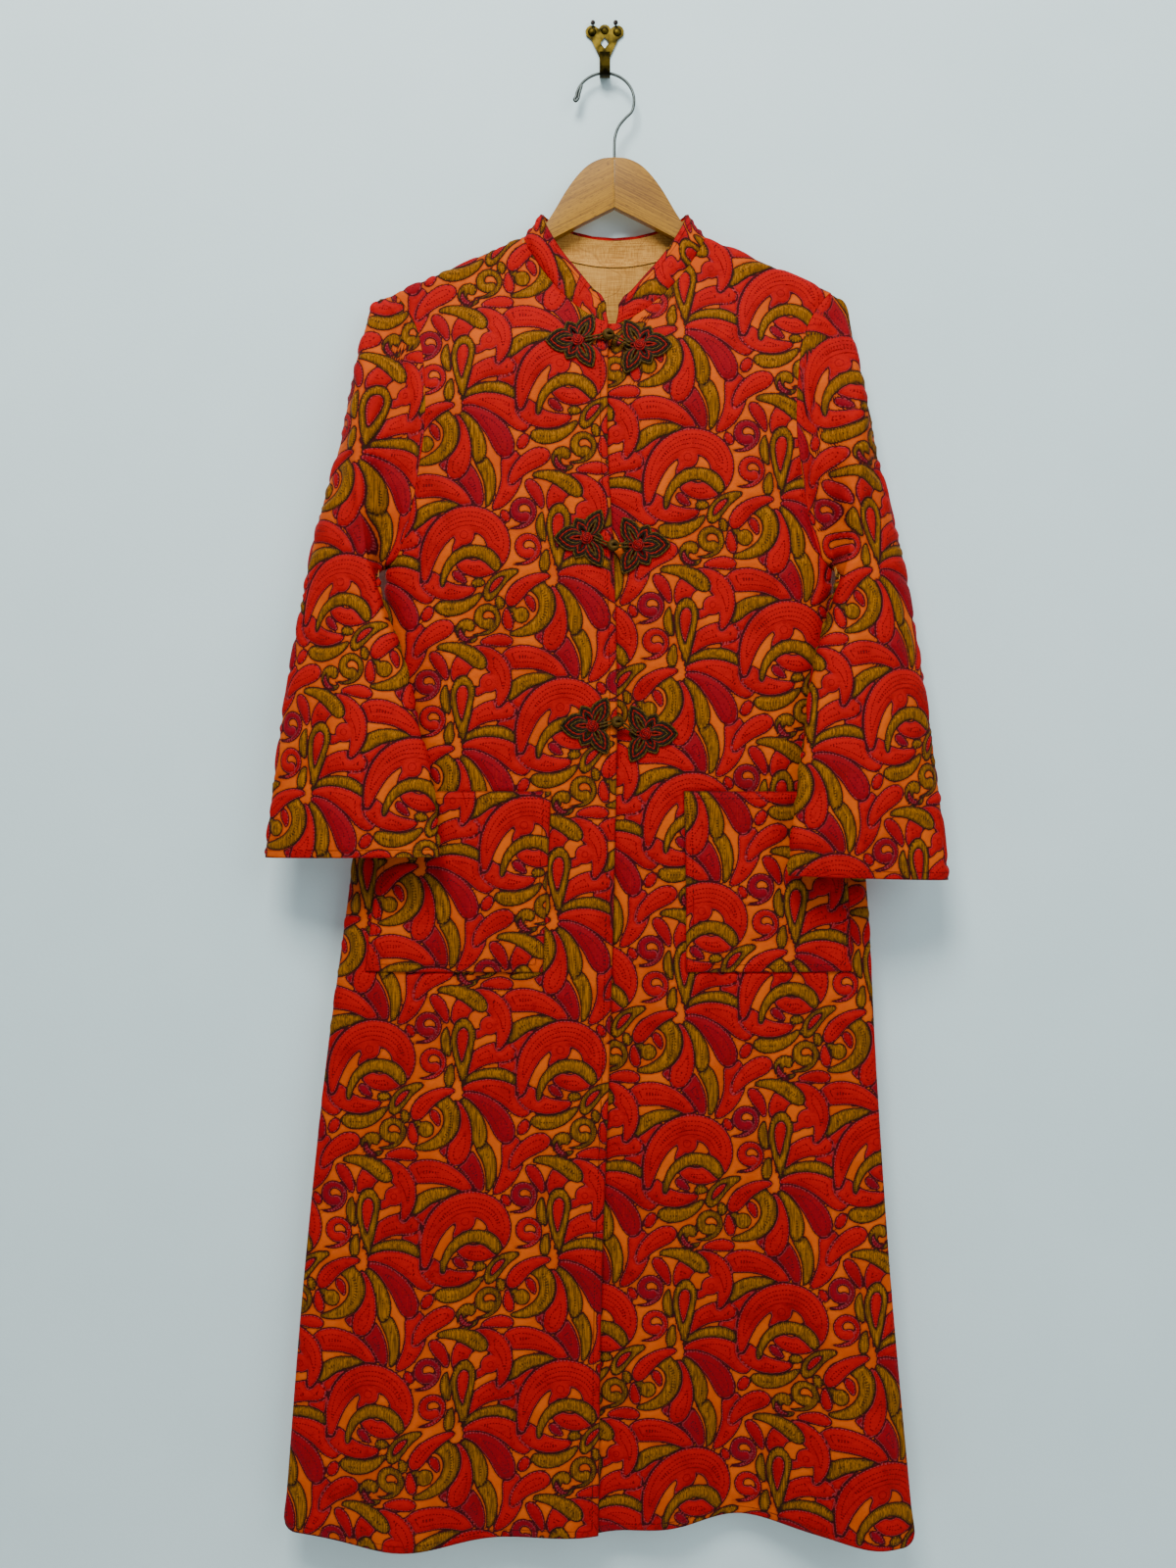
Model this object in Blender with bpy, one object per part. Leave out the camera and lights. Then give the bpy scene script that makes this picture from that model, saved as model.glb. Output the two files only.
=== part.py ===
# A quilted coat with a stand collar, patch pockets and three cord fasteners.
# It hangs on a wooden hanger from a small brass hook on a wall.
# Sizes are in millimetres and become metres when a mesh is made.
# +X is the viewer's right, +Y goes into the wall and +Z is up.
# The origin is the middle of the wall hook's flat back, on the wall.

import math

import bpy
import numpy as np
from mathutils.bvhtree import BVHTree

for old_object in list(bpy.data.objects):
    bpy.data.objects.remove(old_object, do_unlink=True)

MM = 0.001

# Cloth

WALL = 3.0
RELIEF = 1.8
SEAM_GAP = 0.3
PATCH_GAP = 0.4
FACING_WALL = 1.0

# Body, by the drop below the origin

BODY_COLUMNS = ("drop", "centre", "half_width", "lap_edge", "front", "back", "left_seam", "right_seam")
BODY_SECTIONS = np.array((
    (200, 9, 232, 4, -54, -10, -26, -26),
    (298, 7, 232, 4, -62, -9, -28, -28),
    (430, 7, 232, 3, -64, -8, -30, -30),
    (550, 4, 232, 9, -64, -8, -30, -30),
    (700, 4, 250, 12, -62, -8, -30, -31),
    (877, 3, 270, 9, -58, -8, -30, -33),
    (1076, -5, 288, 4, -54, -8, -32, -38),
    (1276, -9, 304, -3, -50, -8, -36, -46),
    (1557, -8, 326, -7, -50, -8, -42, -60),
), float)
UNDERARM_DROP = 550.0
POCKET_TOP = 782.0
POCKET_BOTTOM = 968.0
HEM_DROP = 1557.0
SIDE_ROUNDNESS = 6.0

# Soft folds of the skirt, which push towards the wall (+) or away from it (-)
# Columns: place across at the hem, push, half-width, drop where the fold starts

FRONT_FOLDS = (
    (-207, -26, 62, 1000),
    (-119, 12, 60, 1050),
    (22, 13, 34, 1300),
    (134, 26, 66, 1120),
    (283, -32, 46, 1150),
)
BACK_FOLDS = (
    (-232, -12, 52, 1000),
    (-62, -9, 60, 1100),
    (52, -8, 50, 1050),
)

# Columns: place across, lift of the hem

HEM_LIFT = np.array(((-340, 8), (-240, 0), (-60, 0), (10, 2), (80, 7), (140, 16), (215, 6), (340, 0)), float)
HEM_LIFT_START = 1150.0

# Shoulders and neck

SHOULDER_DROP = 200.0
SHOULDER_SLOPE = 0.44
NECK_HALF = 96.0
NECK_CENTRE = 10.0
SHOULDER_SEAM_Y = -22.0
SHOULDER_ROLL = 12.0
FRONT_FILL = 150.0
BACK_FILL = 100.0
FRONT_NECK_DROP = 98.0
BACK_NECK_DROP = 28.0
NECK_CROWDING = 2.1
RIGHT_NECK_START = 3.0
LEFT_NECK_START = 11.0

# Armhole. Columns: half-width from the body's centre, drop

ARMHOLE = np.array((
    (230, 259), (216, 275), (203, 300), (194, 340), (191, 400),
    (197, 450), (206, 500), (218, 537), (232, 550),
), float)
ARMHOLE_CENTRE = 7.0

# Lap at the centre front

LAP_WIDTH = 29.0
LAP_RECESS = 6.0
LAP_BLEND = 45.0

# Grid of the panels: fractions from the centre front, and rows down the coat

RIGHT_COLUMNS = np.array((0, 4, 10, 17, 25, 33, 41, 49, 57, 65, 73, 81, 89, 95, 100)) / 100.0
RIGHT_NECK_COLUMN = 6
RIGHT_POCKET = (4, 12)
LEFT_COLUMNS = np.array((0, 5, 10, 15, 22, 29, 35, 42, 49, 56, 63, 70, 78, 85, 92, 96, 100)) / 100.0
LEFT_START_COLUMN = 3
LEFT_NECK_COLUMN = 8
LEFT_POCKET = (6, 14)
BACK_SHOULDER_COLUMNS = 7
BACK_NECK_COLUMNS = 10
YOKE_ROWS = np.array((0, 12, 30, 55, 140, 245, 350, 455, 560, 665, 775, 885, 1000)) / 1000.0
PLAIN_TOP_ROWS = 4
WAIST_ROWS = 8
POCKET_ROWS = 6
SKIRT_ROWS = 20

# Quilting: puffs in one cell of a half-drop repeat
# Columns: across, up, half-length, half-width, tilt in degrees

REPEAT_WIDTH = 240.0
REPEAT_DROP = 215.0
PUFFS = (
    (0, 0, 27, 24, 0),
    (47, 12, 36, 17, 78),
    (14, 48, 36, 17, 165),
    (-36, 36, 34, 16, -130),
    (-50, -16, 34, 16, -75),
    (-16, -50, 34, 15, 160),
    (95, -30, 30, 15, 20),
    (88, -64, 32, 15, -35),
    (62, -88, 32, 15, -75),
    (122, 42, 38, 14, 60),
    (104, 88, 30, 15, -20),
    (34, 92, 32, 13, 35),
    (-30, 92, 28, 14, -30),
)

# Sleeves, a row for each ring
# Columns: share of the length, outer edge x y z, inner edge x y z, front bow x y, rear bow x y

RIGHT_SLEEVE = np.array((
    (0.06, -243, -24, -270, -241, -40, -556, 22, -16, 22, 18),
    (0.13, -252, -27, -300, -239, -52, -566, 0, -26, 6, 20),
    (0.27, -276, -30, -412, -227, -63, -592, -4, -25, 0, 20),
    (0.42, -303, -36, -518, -208, -73, -640, 0, -24, 0, 17),
    (0.62, -324, -44, -640, -190, -79, -712, 0, -23, 0, 15),
    (0.82, -338, -54, -745, -174, -85, -785, 0, -22, 0, 13),
    (1.00, -349, -62, -850, -167, -88, -848, 0, -20, 0, 12),
), float)
LEFT_SLEEVE = np.array((
    (0.06, 252, -24, -272, 245, -40, -556, -22, -16, -22, 18),
    (0.13, 260, -27, -310, 243, -52, -566, 0, -26, -6, 20),
    (0.27, 284, -30, -425, 231, -63, -592, 4, -25, 0, 20),
    (0.42, 309, -36, -535, 214, -73, -645, 0, -24, 0, 17),
    (0.62, 328, -44, -655, 203, -79, -715, 0, -23, 0, 15),
    (0.82, 342, -54, -770, 192, -85, -795, 0, -22, 0, 13),
    (1.00, 352, -62, -873, 184, -88, -867, 0, -20, 0, 12),
), float)
SLEEVE_ROWS = np.concatenate(((0.0, 0.03, 0.06, 0.095, 0.13), np.linspace(0.18, 1.0, 18)))
SLEEVE_HEAD_ROWS = 7
BOW_ROUNDNESS = 0.6

# Collar

COLLAR_HEIGHT = 32.0
COLLAR_END_HEIGHT = 0.72
COLLAR_LEAN = 0.45
COLLAR_ROWS = 4

# Fasteners. Columns: middle of the right flower x z, of the left flower x z, of the knot x z

FROGS = (
    (-28, -319, 35, -324, 3, -314),
    (-19, -523, 33, -530, 8, -531),
    (-13, -715, 41, -723, 12, -711),
)

# Petals of a flower. Columns: turn from the outward side in degrees, reach, half-angle

PETALS = ((0, 34, 30), (62, 25, 24), (-62, 25, 24), (118, 27, 26), (-118, 27, 26), (180, 17, 24))
FROG_EYE = 11.0
FROG_ANGLES = 28
FROG_LEVELS = (0.0, 0.55, 1.0)
FROG_HEIGHTS = (6.0, 4.4, 2.6)
FROG_GAP = 0.8
FROG_FLAT = (38.0, 16.0)
KNOT_HALF = (6.5, 4.5, 5.5)
KNOT_GAP = 0.4
KNOT_RINGS = 6
KNOT_SIDES = 10

# Hanger. Columns of the crown: distance from the middle, drop of the top edge, drop of the lower edge

HANGER_X = 10.0
HANGER_Y = -22.8
CROWN = np.array((
    (0, 117, 169), (14, 118.5, 176), (30, 127, 184), (50, 151, 194.5), (64, 174.5, 202),
    (78, 195, 211), (92, 208.5, 219), (104, 209, 224), (160, 220, 250), (200, 230, 268),
), float)
HANGER_STATIONS = (0, 10, 22, 36, 50, 64, 78, 92, 108, 140, 175, 196, 204, 209)
HANGER_END = ((196, 0.0), (204, 3.0), (209, 7.5))
HANGER_REST = 0.5
WOOD_EDGE = ((0.0, 0.0), (1.8, 1.6), (3.6, 3.8), (5.0, 7.0))
HANGER_LOWER_EDGE = ((5.0, 3.0), (3.6, 0.8), (1.8, 0.0))
WIRE_RADIUS = 1.5
WIRE_SIDES = 6
HOOK_RADIUS = 31.0
HOOK_CENTRE_Z = -52.2
HOOK_TOP_Y = -12.0
HOOK_POINTS = 42
HOOK_STEM = ((10.0, -116.3), (10.0, -104.0), (10.8, -92.0), (14.6, -81.0), (21.3, -72.0))
HOOK_TURN = (-22.0, 172.0)
HOOK_BOW_POINTS = 20
HOOK_TIP = ((-32.4, -50.6), (-31.0, -52.6), (-28.8, -50.8), (-27.0, -44.0), (-24.5, -35.0))

# Wall hook and nails

BRASS_THICK = 2.0
SHANK_WIDTH = 11.0
SHANK_TOP = 6.0
BEND_RADIUS = 11.0
BEND_CENTRE_Z = -13.7
LIP_RISE = 9.0
LIP_FLARE = 1.5
BEND_POINTS = 9
PLATE_CENTRE_Z = 16.0
PLATE_LOBES = ((-13.5, 27.6, 7.2), (0.0, 29.0, 6.6), (13.5, 27.6, 7.2))
PLATE_BODY = ((-5.5, 1.0), (5.5, 1.0), (16.5, 24.0), (-16.5, 24.0))
PLATE_HOLE = (4.6, 6.2)
PLATE_POINTS = 40
NAIL_PLACES = ((-12.6, 36.2), (11.6, 36.2))
NAIL_PROFILE = ((0.0, -0.3), (0.9, -0.3), (0.9, -4.0), (2.6, -4.3), (2.2, -6.0), (0.0, -6.4))
NAIL_SIDES = 10

# Finishes

FINISHES = {
    "quilt": ((0.46, 0.035, 0.02), 0.85, 0.0),
    "muslin": ((0.62, 0.42, 0.22), 0.9, 0.0),
    "cord": ((0.16, 0.07, 0.02), 0.6, 0.0),
    "beech": ((0.62, 0.40, 0.20), 0.5, 0.0),
    "steel": ((0.45, 0.46, 0.46), 0.3, 1.0),
    "brass": ((0.36, 0.25, 0.09), 0.4, 1.0),
    "nail": ((0.05, 0.045, 0.04), 0.45, 1.0),
}


def finish(slot):
    """The Principled material of one slot."""
    material = bpy.data.materials.get(slot)
    if material is None:
        colour, roughness, metallic = FINISHES[slot]
        material = bpy.data.materials.new(slot)
        material.use_nodes = True
        shader = material.node_tree.nodes["Principled BSDF"]
        shader.inputs["Base Color"].default_value = (*colour, 1.0)
        shader.inputs["Roughness"].default_value = roughness
        shader.inputs["Metallic"].default_value = metallic
    return material


def enclosed_volume(points, faces):
    """Volume inside consistently turned faces, negative where they point inwards."""
    total = 0.0
    for face in faces:
        for index in range(1, len(face) - 1):
            total += np.dot(points[face[0]], np.cross(points[face[index]], points[face[index + 1]]))
    return total / 6.0


def make_object(name, points, faces, slot):
    """One named object from points in millimetres, with its faces turned outwards."""
    points = np.asarray(points, float)
    if enclosed_volume(points, faces) < 0:
        faces = [face[::-1] for face in faces]
    mesh = bpy.data.meshes.new(name)
    mesh.from_pydata([tuple(float(value) * MM for value in point) for point in points], [], faces)
    mesh.materials.append(finish(slot))
    mesh.shade_smooth()
    mesh.set_sharp_from_angle(angle=math.radians(40))
    new_object = bpy.data.objects.new(name, mesh)
    bpy.context.scene.collection.objects.link(new_object)
    return new_object


def smooth_value(keys, values, query):
    """A smooth curve through a short table, read at the query."""
    keys = np.asarray(keys, float)
    values = np.asarray(values, float)
    query = np.asarray(query, float)
    slopes = np.gradient(values, keys, axis=0)
    place = np.clip(np.searchsorted(keys, query, side="right") - 1, 0, len(keys) - 2)
    span = keys[place + 1] - keys[place]
    part = np.clip((query - keys[place]) / span, 0.0, 1.0)
    grow = (...,) + (None,) * (values.ndim - 1)
    span = span[grow]
    part = part[grow]
    start = (1 + 2 * part) * (1 - part) ** 2 * values[place]
    end = part ** 2 * (3 - 2 * part) * values[place + 1]
    leave = part * (1 - part) ** 2 * span * slopes[place]
    arrive = part ** 2 * (part - 1) * span * slopes[place + 1]
    return start + end + leave + arrive


def ease(value):
    """A soft step from 0 to 1."""
    value = np.clip(value, 0.0, 1.0)
    return value * value * (3.0 - 2.0 * value)


def unit(vectors):
    """Vectors scaled to length one."""
    vectors = np.asarray(vectors, float)
    return vectors / np.maximum(np.linalg.norm(vectors, axis=-1, keepdims=True), 1e-9)


def body(column, height):
    """One column of the body table at a height."""
    return smooth_value(BODY_SECTIONS[:, 0], BODY_SECTIONS[:, BODY_COLUMNS.index(column)],
                        -np.asarray(height, float))


def shoulder_height(across):
    """Height of the shoulder line, level across the neck."""
    past_neck = np.maximum(np.abs(across - NECK_CENTRE) - NECK_HALF, 0.0)
    return -SHOULDER_DROP - SHOULDER_SLOPE * past_neck


def fold_push(folds, across, height):
    """How far the soft folds of a skirt push a point in or out."""
    push = np.zeros_like(across)
    for place, amount, half_width, start_drop in folds:
        spread = (-height / HEM_DROP) ** 0.5
        depth = ease((-height - start_drop) / (HEM_DROP - start_drop))
        push = push + amount * depth * np.exp(-((across - place * spread) / half_width) ** 2)
    return push


def side_round(across, height):
    """1 in the middle of a panel, falling to 0 at the side seam."""
    half = body("half_width", np.minimum(height, -UNDERARM_DROP))
    part = np.clip(np.abs(across - body("centre", height)) / half, 0.0, 1.0)
    return np.sqrt(1.0 - part ** SIDE_ROUNDNESS)


def panel_depth(across, height, facing):
    """Y of a panel: facing is -1 on the front and 1 on the back."""
    seam = np.where(across < body("centre", height), body("left_seam", height), body("right_seam", height))
    if facing < 0:
        flat = body("front", height) + fold_push(FRONT_FOLDS, across, height)
        fill = FRONT_FILL
    else:
        flat = body("back", height) + fold_push(BACK_FOLDS, across, height)
        fill = BACK_FILL
    hanging = seam + (flat - seam) * side_round(across, height)
    below = np.maximum(shoulder_height(across) - height, 0.0)
    roll = np.sqrt(1.0 - (1.0 - np.minimum(below / SHOULDER_ROLL, 1.0)) ** 2)
    rolled = SHOULDER_SEAM_Y + facing * SHOULDER_ROLL
    depth = SHOULDER_SEAM_Y + facing * SHOULDER_ROLL * roll + (hanging - rolled) * ease(below / fill)
    return depth + facing * SEAM_GAP / 2


def lap_recess(across, height):
    """How far the left front steps back under the lap."""
    return LAP_RECESS * (1.0 - ease((across - body("lap_edge", height)) / LAP_BLEND))


def front_neckline(start, side, steps):
    """Front neckline from the centre front to the side of the neck, as x and z."""
    part = 1.0 - (1.0 - np.linspace(0.0, 1.0, steps + 1)) ** NECK_CROWDING
    drop = FRONT_NECK_DROP * (1.0 - part ** 1.5) ** (1 / 1.2)
    return np.column_stack((start + (side - start) * part, -SHOULDER_DROP - drop))


def shoulder_seam(side_sign, steps):
    """Shoulder seam from the neck to the armhole, without its first point."""
    part = np.linspace(0.0, 1.0, steps + 1)[1:]
    neck = NECK_CENTRE + side_sign * NECK_HALF
    tip = ARMHOLE_CENTRE + side_sign * ARMHOLE[0, 0]
    across = neck + (tip - neck) * part
    return np.column_stack((across, shoulder_height(across)))


def armhole_edge(side_sign):
    """Armhole from the shoulder to the underarm, one point for each yoke row."""
    fine = smooth_value(np.arange(len(ARMHOLE)), ARMHOLE, np.linspace(0, len(ARMHOLE) - 1, 200))
    centre = ARMHOLE_CENTRE + (body("centre", -UNDERARM_DROP) - ARMHOLE_CENTRE) * ease(
        (fine[:, 1] - ARMHOLE[0, 1]) / (UNDERARM_DROP - ARMHOLE[0, 1]))
    points = np.column_stack((centre + side_sign * fine[:, 0], -fine[:, 1]))
    points[0, 1] = shoulder_height(points[0, 0])
    length = np.concatenate(((0.0,), np.cumsum(np.linalg.norm(np.diff(points, axis=0), axis=1))))
    wanted = YOKE_ROWS * length[-1]
    return np.column_stack([np.interp(wanted, length, points[:, axis]) for axis in (0, 1)])


def fill_patch(top, bottom, near, far, across_parts):
    """Coons patch between four edges, rows by columns, as x and z."""
    across_part = across_parts[None, :, None]
    down_part = YOKE_ROWS[:, None, None]
    between = (1 - down_part) * top[None] + down_part * bottom[None]
    beside = (1 - across_part) * near[:, None] + across_part * far[:, None]
    corners = ((1 - across_part) * (1 - down_part) * top[0] + across_part * (1 - down_part) * top[-1]
               + (1 - across_part) * down_part * bottom[0] + across_part * down_part * bottom[-1])
    return between + beside - corners


def skirt_heights():
    """Heights of the rows below the underarm."""
    parts = (np.linspace(UNDERARM_DROP, POCKET_TOP, WAIST_ROWS + 1)[1:],
             np.linspace(POCKET_TOP, POCKET_BOTTOM, POCKET_ROWS + 1)[1:],
             np.linspace(POCKET_BOTTOM, HEM_DROP, SKIRT_ROWS + 1)[1:])
    return -np.concatenate(parts)


def lift_hem(across, height):
    """The hem rises a little where the folds take cloth up."""
    share = ease((-height - HEM_LIFT_START) / (HEM_DROP - HEM_LIFT_START))
    return height + share * smooth_value(HEM_LIFT[:, 0], HEM_LIFT[:, 1], across)


def panel_points(top, near_edge, far_edge, columns, near_x, far_x, facing):
    """All points of a panel: the yoke patch, then level rows down to the hem."""
    def level_row(height):
        near = near_x(height)
        return np.column_stack((near + (far_x(height) - near) * columns, np.full(len(columns), height)))

    bottom = level_row(-UNDERARM_DROP)
    yoke = fill_patch(top, bottom, near_edge, far_edge, columns)
    rows = np.concatenate((yoke, [level_row(height) for height in skirt_heights()]))
    across = rows[..., 0]
    depth = panel_depth(across, rows[..., 1], facing)
    return np.stack((across, depth, lift_hem(across, rows[..., 1])), axis=-1)


def side_edge(side_sign):
    """X of the side seam as a function of height."""
    return lambda height: body("centre", height) + side_sign * body("half_width", height)


def front_points(side_sign):
    """Grid of a front: side_sign is -1 for the right front, on the viewer's left."""
    start_height = -SHOULDER_DROP - FRONT_NECK_DROP
    if side_sign < 0:
        columns = RIGHT_COLUMNS
        neck = front_neckline(RIGHT_NECK_START, NECK_CENTRE - NECK_HALF, RIGHT_NECK_COLUMN)
        seam_steps = len(columns) - 1 - RIGHT_NECK_COLUMN
        near_x = lambda height: body("lap_edge", height)
    else:
        columns = LEFT_COLUMNS
        steps = LEFT_NECK_COLUMN - LEFT_START_COLUMN
        neck = front_neckline(LEFT_NECK_START, NECK_CENTRE + NECK_HALF, steps)
        under = body("lap_edge", start_height) - LAP_WIDTH
        level = np.linspace(under, LEFT_NECK_START, LEFT_START_COLUMN + 1)[:-1]
        neck = np.concatenate((np.column_stack((level, np.full(len(level), start_height))), neck))
        seam_steps = len(columns) - 1 - LEFT_NECK_COLUMN
        near_x = lambda height: body("lap_edge", height) - LAP_WIDTH
    top = np.concatenate((neck, shoulder_seam(side_sign, seam_steps)))
    edge_heights = start_height + (-UNDERARM_DROP - start_height) * YOKE_ROWS
    start_shift = (top[0, 0] - near_x(start_height)) * (1.0 - YOKE_ROWS)
    near_edge = np.column_stack((near_x(edge_heights) + start_shift, edge_heights))
    points = panel_points(top, near_edge, armhole_edge(side_sign), columns, near_x, side_edge(side_sign), -1)
    if side_sign > 0:
        points[..., 1] += lap_recess(points[..., 0], points[..., 2])
    return points


def back_points():
    """Grid of the back, from the viewer's left to the right."""
    neck_part = np.linspace(-1.0, 1.0, BACK_NECK_COLUMNS + 1)
    neck_part = np.sign(neck_part) * (1.0 - (1.0 - np.abs(neck_part)) ** NECK_CROWDING)
    neck = np.column_stack((NECK_CENTRE + NECK_HALF * neck_part,
                            -SHOULDER_DROP - BACK_NECK_DROP * (1.0 - neck_part ** 2)))
    left = shoulder_seam(-1, BACK_SHOULDER_COLUMNS)[::-1]
    right = shoulder_seam(1, BACK_SHOULDER_COLUMNS)
    top = np.concatenate((left, neck, right))
    columns = np.linspace(0.0, 1.0, len(top))
    return panel_points(top, armhole_edge(-1), armhole_edge(1), columns, side_edge(-1), side_edge(1), 1)


def grid_normals(points, closed=False):
    """Unit normals of a grid of rows by columns; closed joins the last column to the first."""
    if closed:
        wrapped = np.concatenate((points[:, -1:], points, points[:, :1]), axis=1)
        along = (wrapped[:, 2:] - wrapped[:, :-2]) / 2
    else:
        along = np.gradient(points, axis=1)
    down = np.gradient(points, axis=0)
    return unit(np.cross(along, down))


def quilt_height(across, up):
    """Height of the quilting at cloth coordinates, from 0 in a stitched valley to RELIEF on a puff."""
    height = np.zeros_like(across)
    for place, level, half_length, half_width, tilt in PUFFS:
        cosine = math.cos(math.radians(tilt))
        sine = math.sin(math.radians(tilt))
        nearest = np.round((up - level) / REPEAT_DROP)
        for step in (-1, 0, 1):
            row = nearest + step
            offset_up = up - level - row * REPEAT_DROP
            offset = across - place - row * REPEAT_WIDTH / 2
            offset = (offset + REPEAT_WIDTH / 2) % REPEAT_WIDTH - REPEAT_WIDTH / 2
            length_part = (offset * cosine + offset_up * sine) / half_length
            width_part = (offset_up * cosine - offset * sine) / half_width
            inside = np.clip(1.0 - length_part ** 2 - width_part ** 2, 0.0, 1.0)
            height = np.maximum(height, RELIEF * np.sqrt(inside))
    return height


def flat_under_frogs(points):
    """1 away from the fasteners and 0 under them, where the cloth is pressed flat."""
    keep = np.ones(points.shape[:2])
    clear, blend = FROG_FLAT
    for right_x, right_z, left_x, left_z, knot_x, knot_z in FROGS:
        for x, z in ((right_x, right_z), (left_x, left_z), (knot_x, knot_z)):
            distance = np.hypot(points[..., 0] - x, points[..., 2] - z)
            keep = np.minimum(keep, np.clip((distance - clear) / blend, 0.0, 1.0))
    return keep


def edge_fade(points):
    """0 on the edges of a panel and in the rolled shoulder rows, 1 elsewhere."""
    keep = np.ones(points.shape[:2])
    keep[:PLAIN_TOP_ROWS] = 0.0
    keep[-1] = 0.0
    keep[:, 0] = 0.0
    keep[:, -1] = 0.0
    return keep


def grid_faces(ids, closed, flip):
    """Triangles of a grid of point numbers, always split along the same diagonal."""
    faces = []
    rows, columns = ids.shape
    spans = columns if closed else columns - 1
    for row in range(rows - 1):
        for column in range(spans):
            following = (column + 1) % columns
            corners = (ids[row, column], ids[row, following], ids[row + 1, following], ids[row + 1, column])
            for pick in ((0, 1, 2), (0, 2, 3)):
                face = tuple(int(corners[index]) for index in pick)
                faces.append(face[::-1] if flip else face)
    return faces


def edge_leave(edge, normals, closed, towards):
    """Unit steps across an edge and away from its panel, lengthened at corners so that the gap stays even."""
    steps = np.roll(edge, -1, axis=0) - edge
    sides = unit(np.cross(unit(normals + np.roll(normals, -1, axis=0)), unit(steps)) * towards)
    before = np.roll(sides, 1, axis=0)
    if not closed:
        before[0] = sides[0]
        sides[-1] = before[-1]
    return (before + sides) / np.maximum(1.0 + np.sum(before * sides, axis=1, keepdims=True), 0.5)


def rim_faces(outer, inner, closed, flip, turn_from=None):
    """Triangles between two edges with the same number of points.

    From the point turn_from on, where a neighbour's edge runs the other way, the other diagonal is used.
    """
    faces = []
    spans = len(outer) if closed else len(outer) - 1
    for index in range(spans):
        following = (index + 1) % len(outer)
        first, last = int(outer[index]), int(outer[following])
        near, far = int(inner[index]), int(inner[following])
        if turn_from is not None and index >= turn_from:
            found = ((first, near, far), (first, far, last))
        else:
            found = ((first, near, last), (last, near, far))
        faces += [face[::-1] for face in found] if flip else found
    return faces


def strip_faces(outer, inner, inner_rows, flip):
    """Triangles between an edge and an inner edge that keeps only some of its rows."""
    faces = []
    for index in range(len(inner) - 1):
        near, far = int(inner[index]), int(inner[index + 1])
        chain = [int(point) for point in outer[inner_rows[index]:inner_rows[index + 1] + 1]]
        found = [(chain[0], near, chain[1]), (chain[1], near, far)]
        found += [(chain[step], far, chain[step + 1]) for step in range(1, len(chain) - 1)]
        faces += [face[::-1] for face in found] if flip else found
    return faces


def kept_rows(count, fine_rows):
    """Rows that the plain inside keeps: all of the first ones, then every second one."""
    return list(range(fine_rows)) + list(range(fine_rows + 1, count, 2))


def make_wall(name, outer, inner, slot, fine_rows=None, closed=False, turn_from=None):
    """A closed wall between two grids, the inner one thinned out below its first fine rows."""
    inner_rows = kept_rows(len(outer), len(outer) if fine_rows is None else fine_rows)
    inner = inner[inner_rows]
    outer_ids = np.arange(outer.shape[0] * outer.shape[1]).reshape(outer.shape[:2])
    inner_ids = outer_ids.size + np.arange(inner.shape[0] * inner.shape[1]).reshape(inner.shape[:2])
    faces = grid_faces(outer_ids, closed, False) + grid_faces(inner_ids, closed, True)
    faces += rim_faces(outer_ids[0], inner_ids[0], closed, False, turn_from)
    faces += rim_faces(outer_ids[-1], inner_ids[-1], closed, True)
    if not closed:
        faces += strip_faces(outer_ids[:, 0], inner_ids[:, 0], inner_rows, True)
        faces += strip_faces(outer_ids[:, -1], inner_ids[:, -1], inner_rows, False)
    points = np.concatenate((outer.reshape(-1, 3), inner.reshape(-1, 3)))
    return make_object(name, points, faces, slot)


def panel_normals(points, facing, seam_columns):
    """Outward normals of a panel, squared up along the shoulder and side seams."""
    normals = grid_normals(points)
    if np.mean(normals[..., 1]) * facing < 0:
        normals = -normals
    for column in seam_columns:
        normals[len(YOKE_ROWS) - 1:, column, 1] = 0.0
    on_shoulder = points[0, :, 2] > shoulder_height(points[0, :, 0]) - SEAM_GAP
    normals[0, on_shoulder, 1] = 0.0
    return unit(normals)


def make_front(side_sign, name):
    """One front panel, with the points and normals that its neighbours are made from."""
    points = front_points(side_sign)
    normals = panel_normals(points, -1, (-1,))
    keep = edge_fade(points) * flat_under_frogs(points)
    outer = points + normals * (quilt_height(points[..., 0], points[..., 2]) * keep)[..., None]
    inner = points - normals * WALL
    make_wall(name, outer, inner, "quilt", len(YOKE_ROWS))
    return {"outer": outer, "inner": inner, "normals": normals}


def make_back():
    """The back panel."""
    points = back_points()
    normals = panel_normals(points, 1, (0, -1))
    outer = points + normals * (quilt_height(points[..., 0], points[..., 2]) * edge_fade(points))[..., None]
    inner = points - normals * WALL
    make_wall("back", outer, inner, "quilt", len(YOKE_ROWS))
    return {"outer": outer, "inner": inner, "normals": normals}


def armhole_ring(front, back, front_column, back_column):
    """Armhole as a ring: down the front edge, then up the back edge, outer and inner points."""
    last = len(YOKE_ROWS) - 1
    ring = {}
    for key in ("outer", "inner", "normals"):
        down = front[key][:last + 1, front_column]
        up = back[key][:last + 1, back_column][::-1]
        top = (down[0] + up[-1]) / 2
        bottom = (down[-1] + up[0]) / 2
        ring[key] = np.concatenate(([top], down[1:-1], [bottom], up[1:-1]))
    return ring


def sleeve_ring(row):
    """Points of one sleeve ring from its table row: outer edge, front half, inner edge, rear half."""
    outer_end = row[1:4]
    inner_end = row[4:7]
    spans = len(YOKE_ROWS) - 1
    part = np.linspace(0.0, 1.0, spans + 1)
    bow = ((4 * part * (1 - part)) ** BOW_ROUNDNESS)[:, None]
    straight = outer_end + (inner_end - outer_end) * part[:, None]
    front = straight + bow * np.array((row[7], row[8], 0.0))
    rear = straight + bow * np.array((row[9], row[10], 0.0))
    return np.concatenate((front, rear[::-1][1:-1]))


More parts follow.
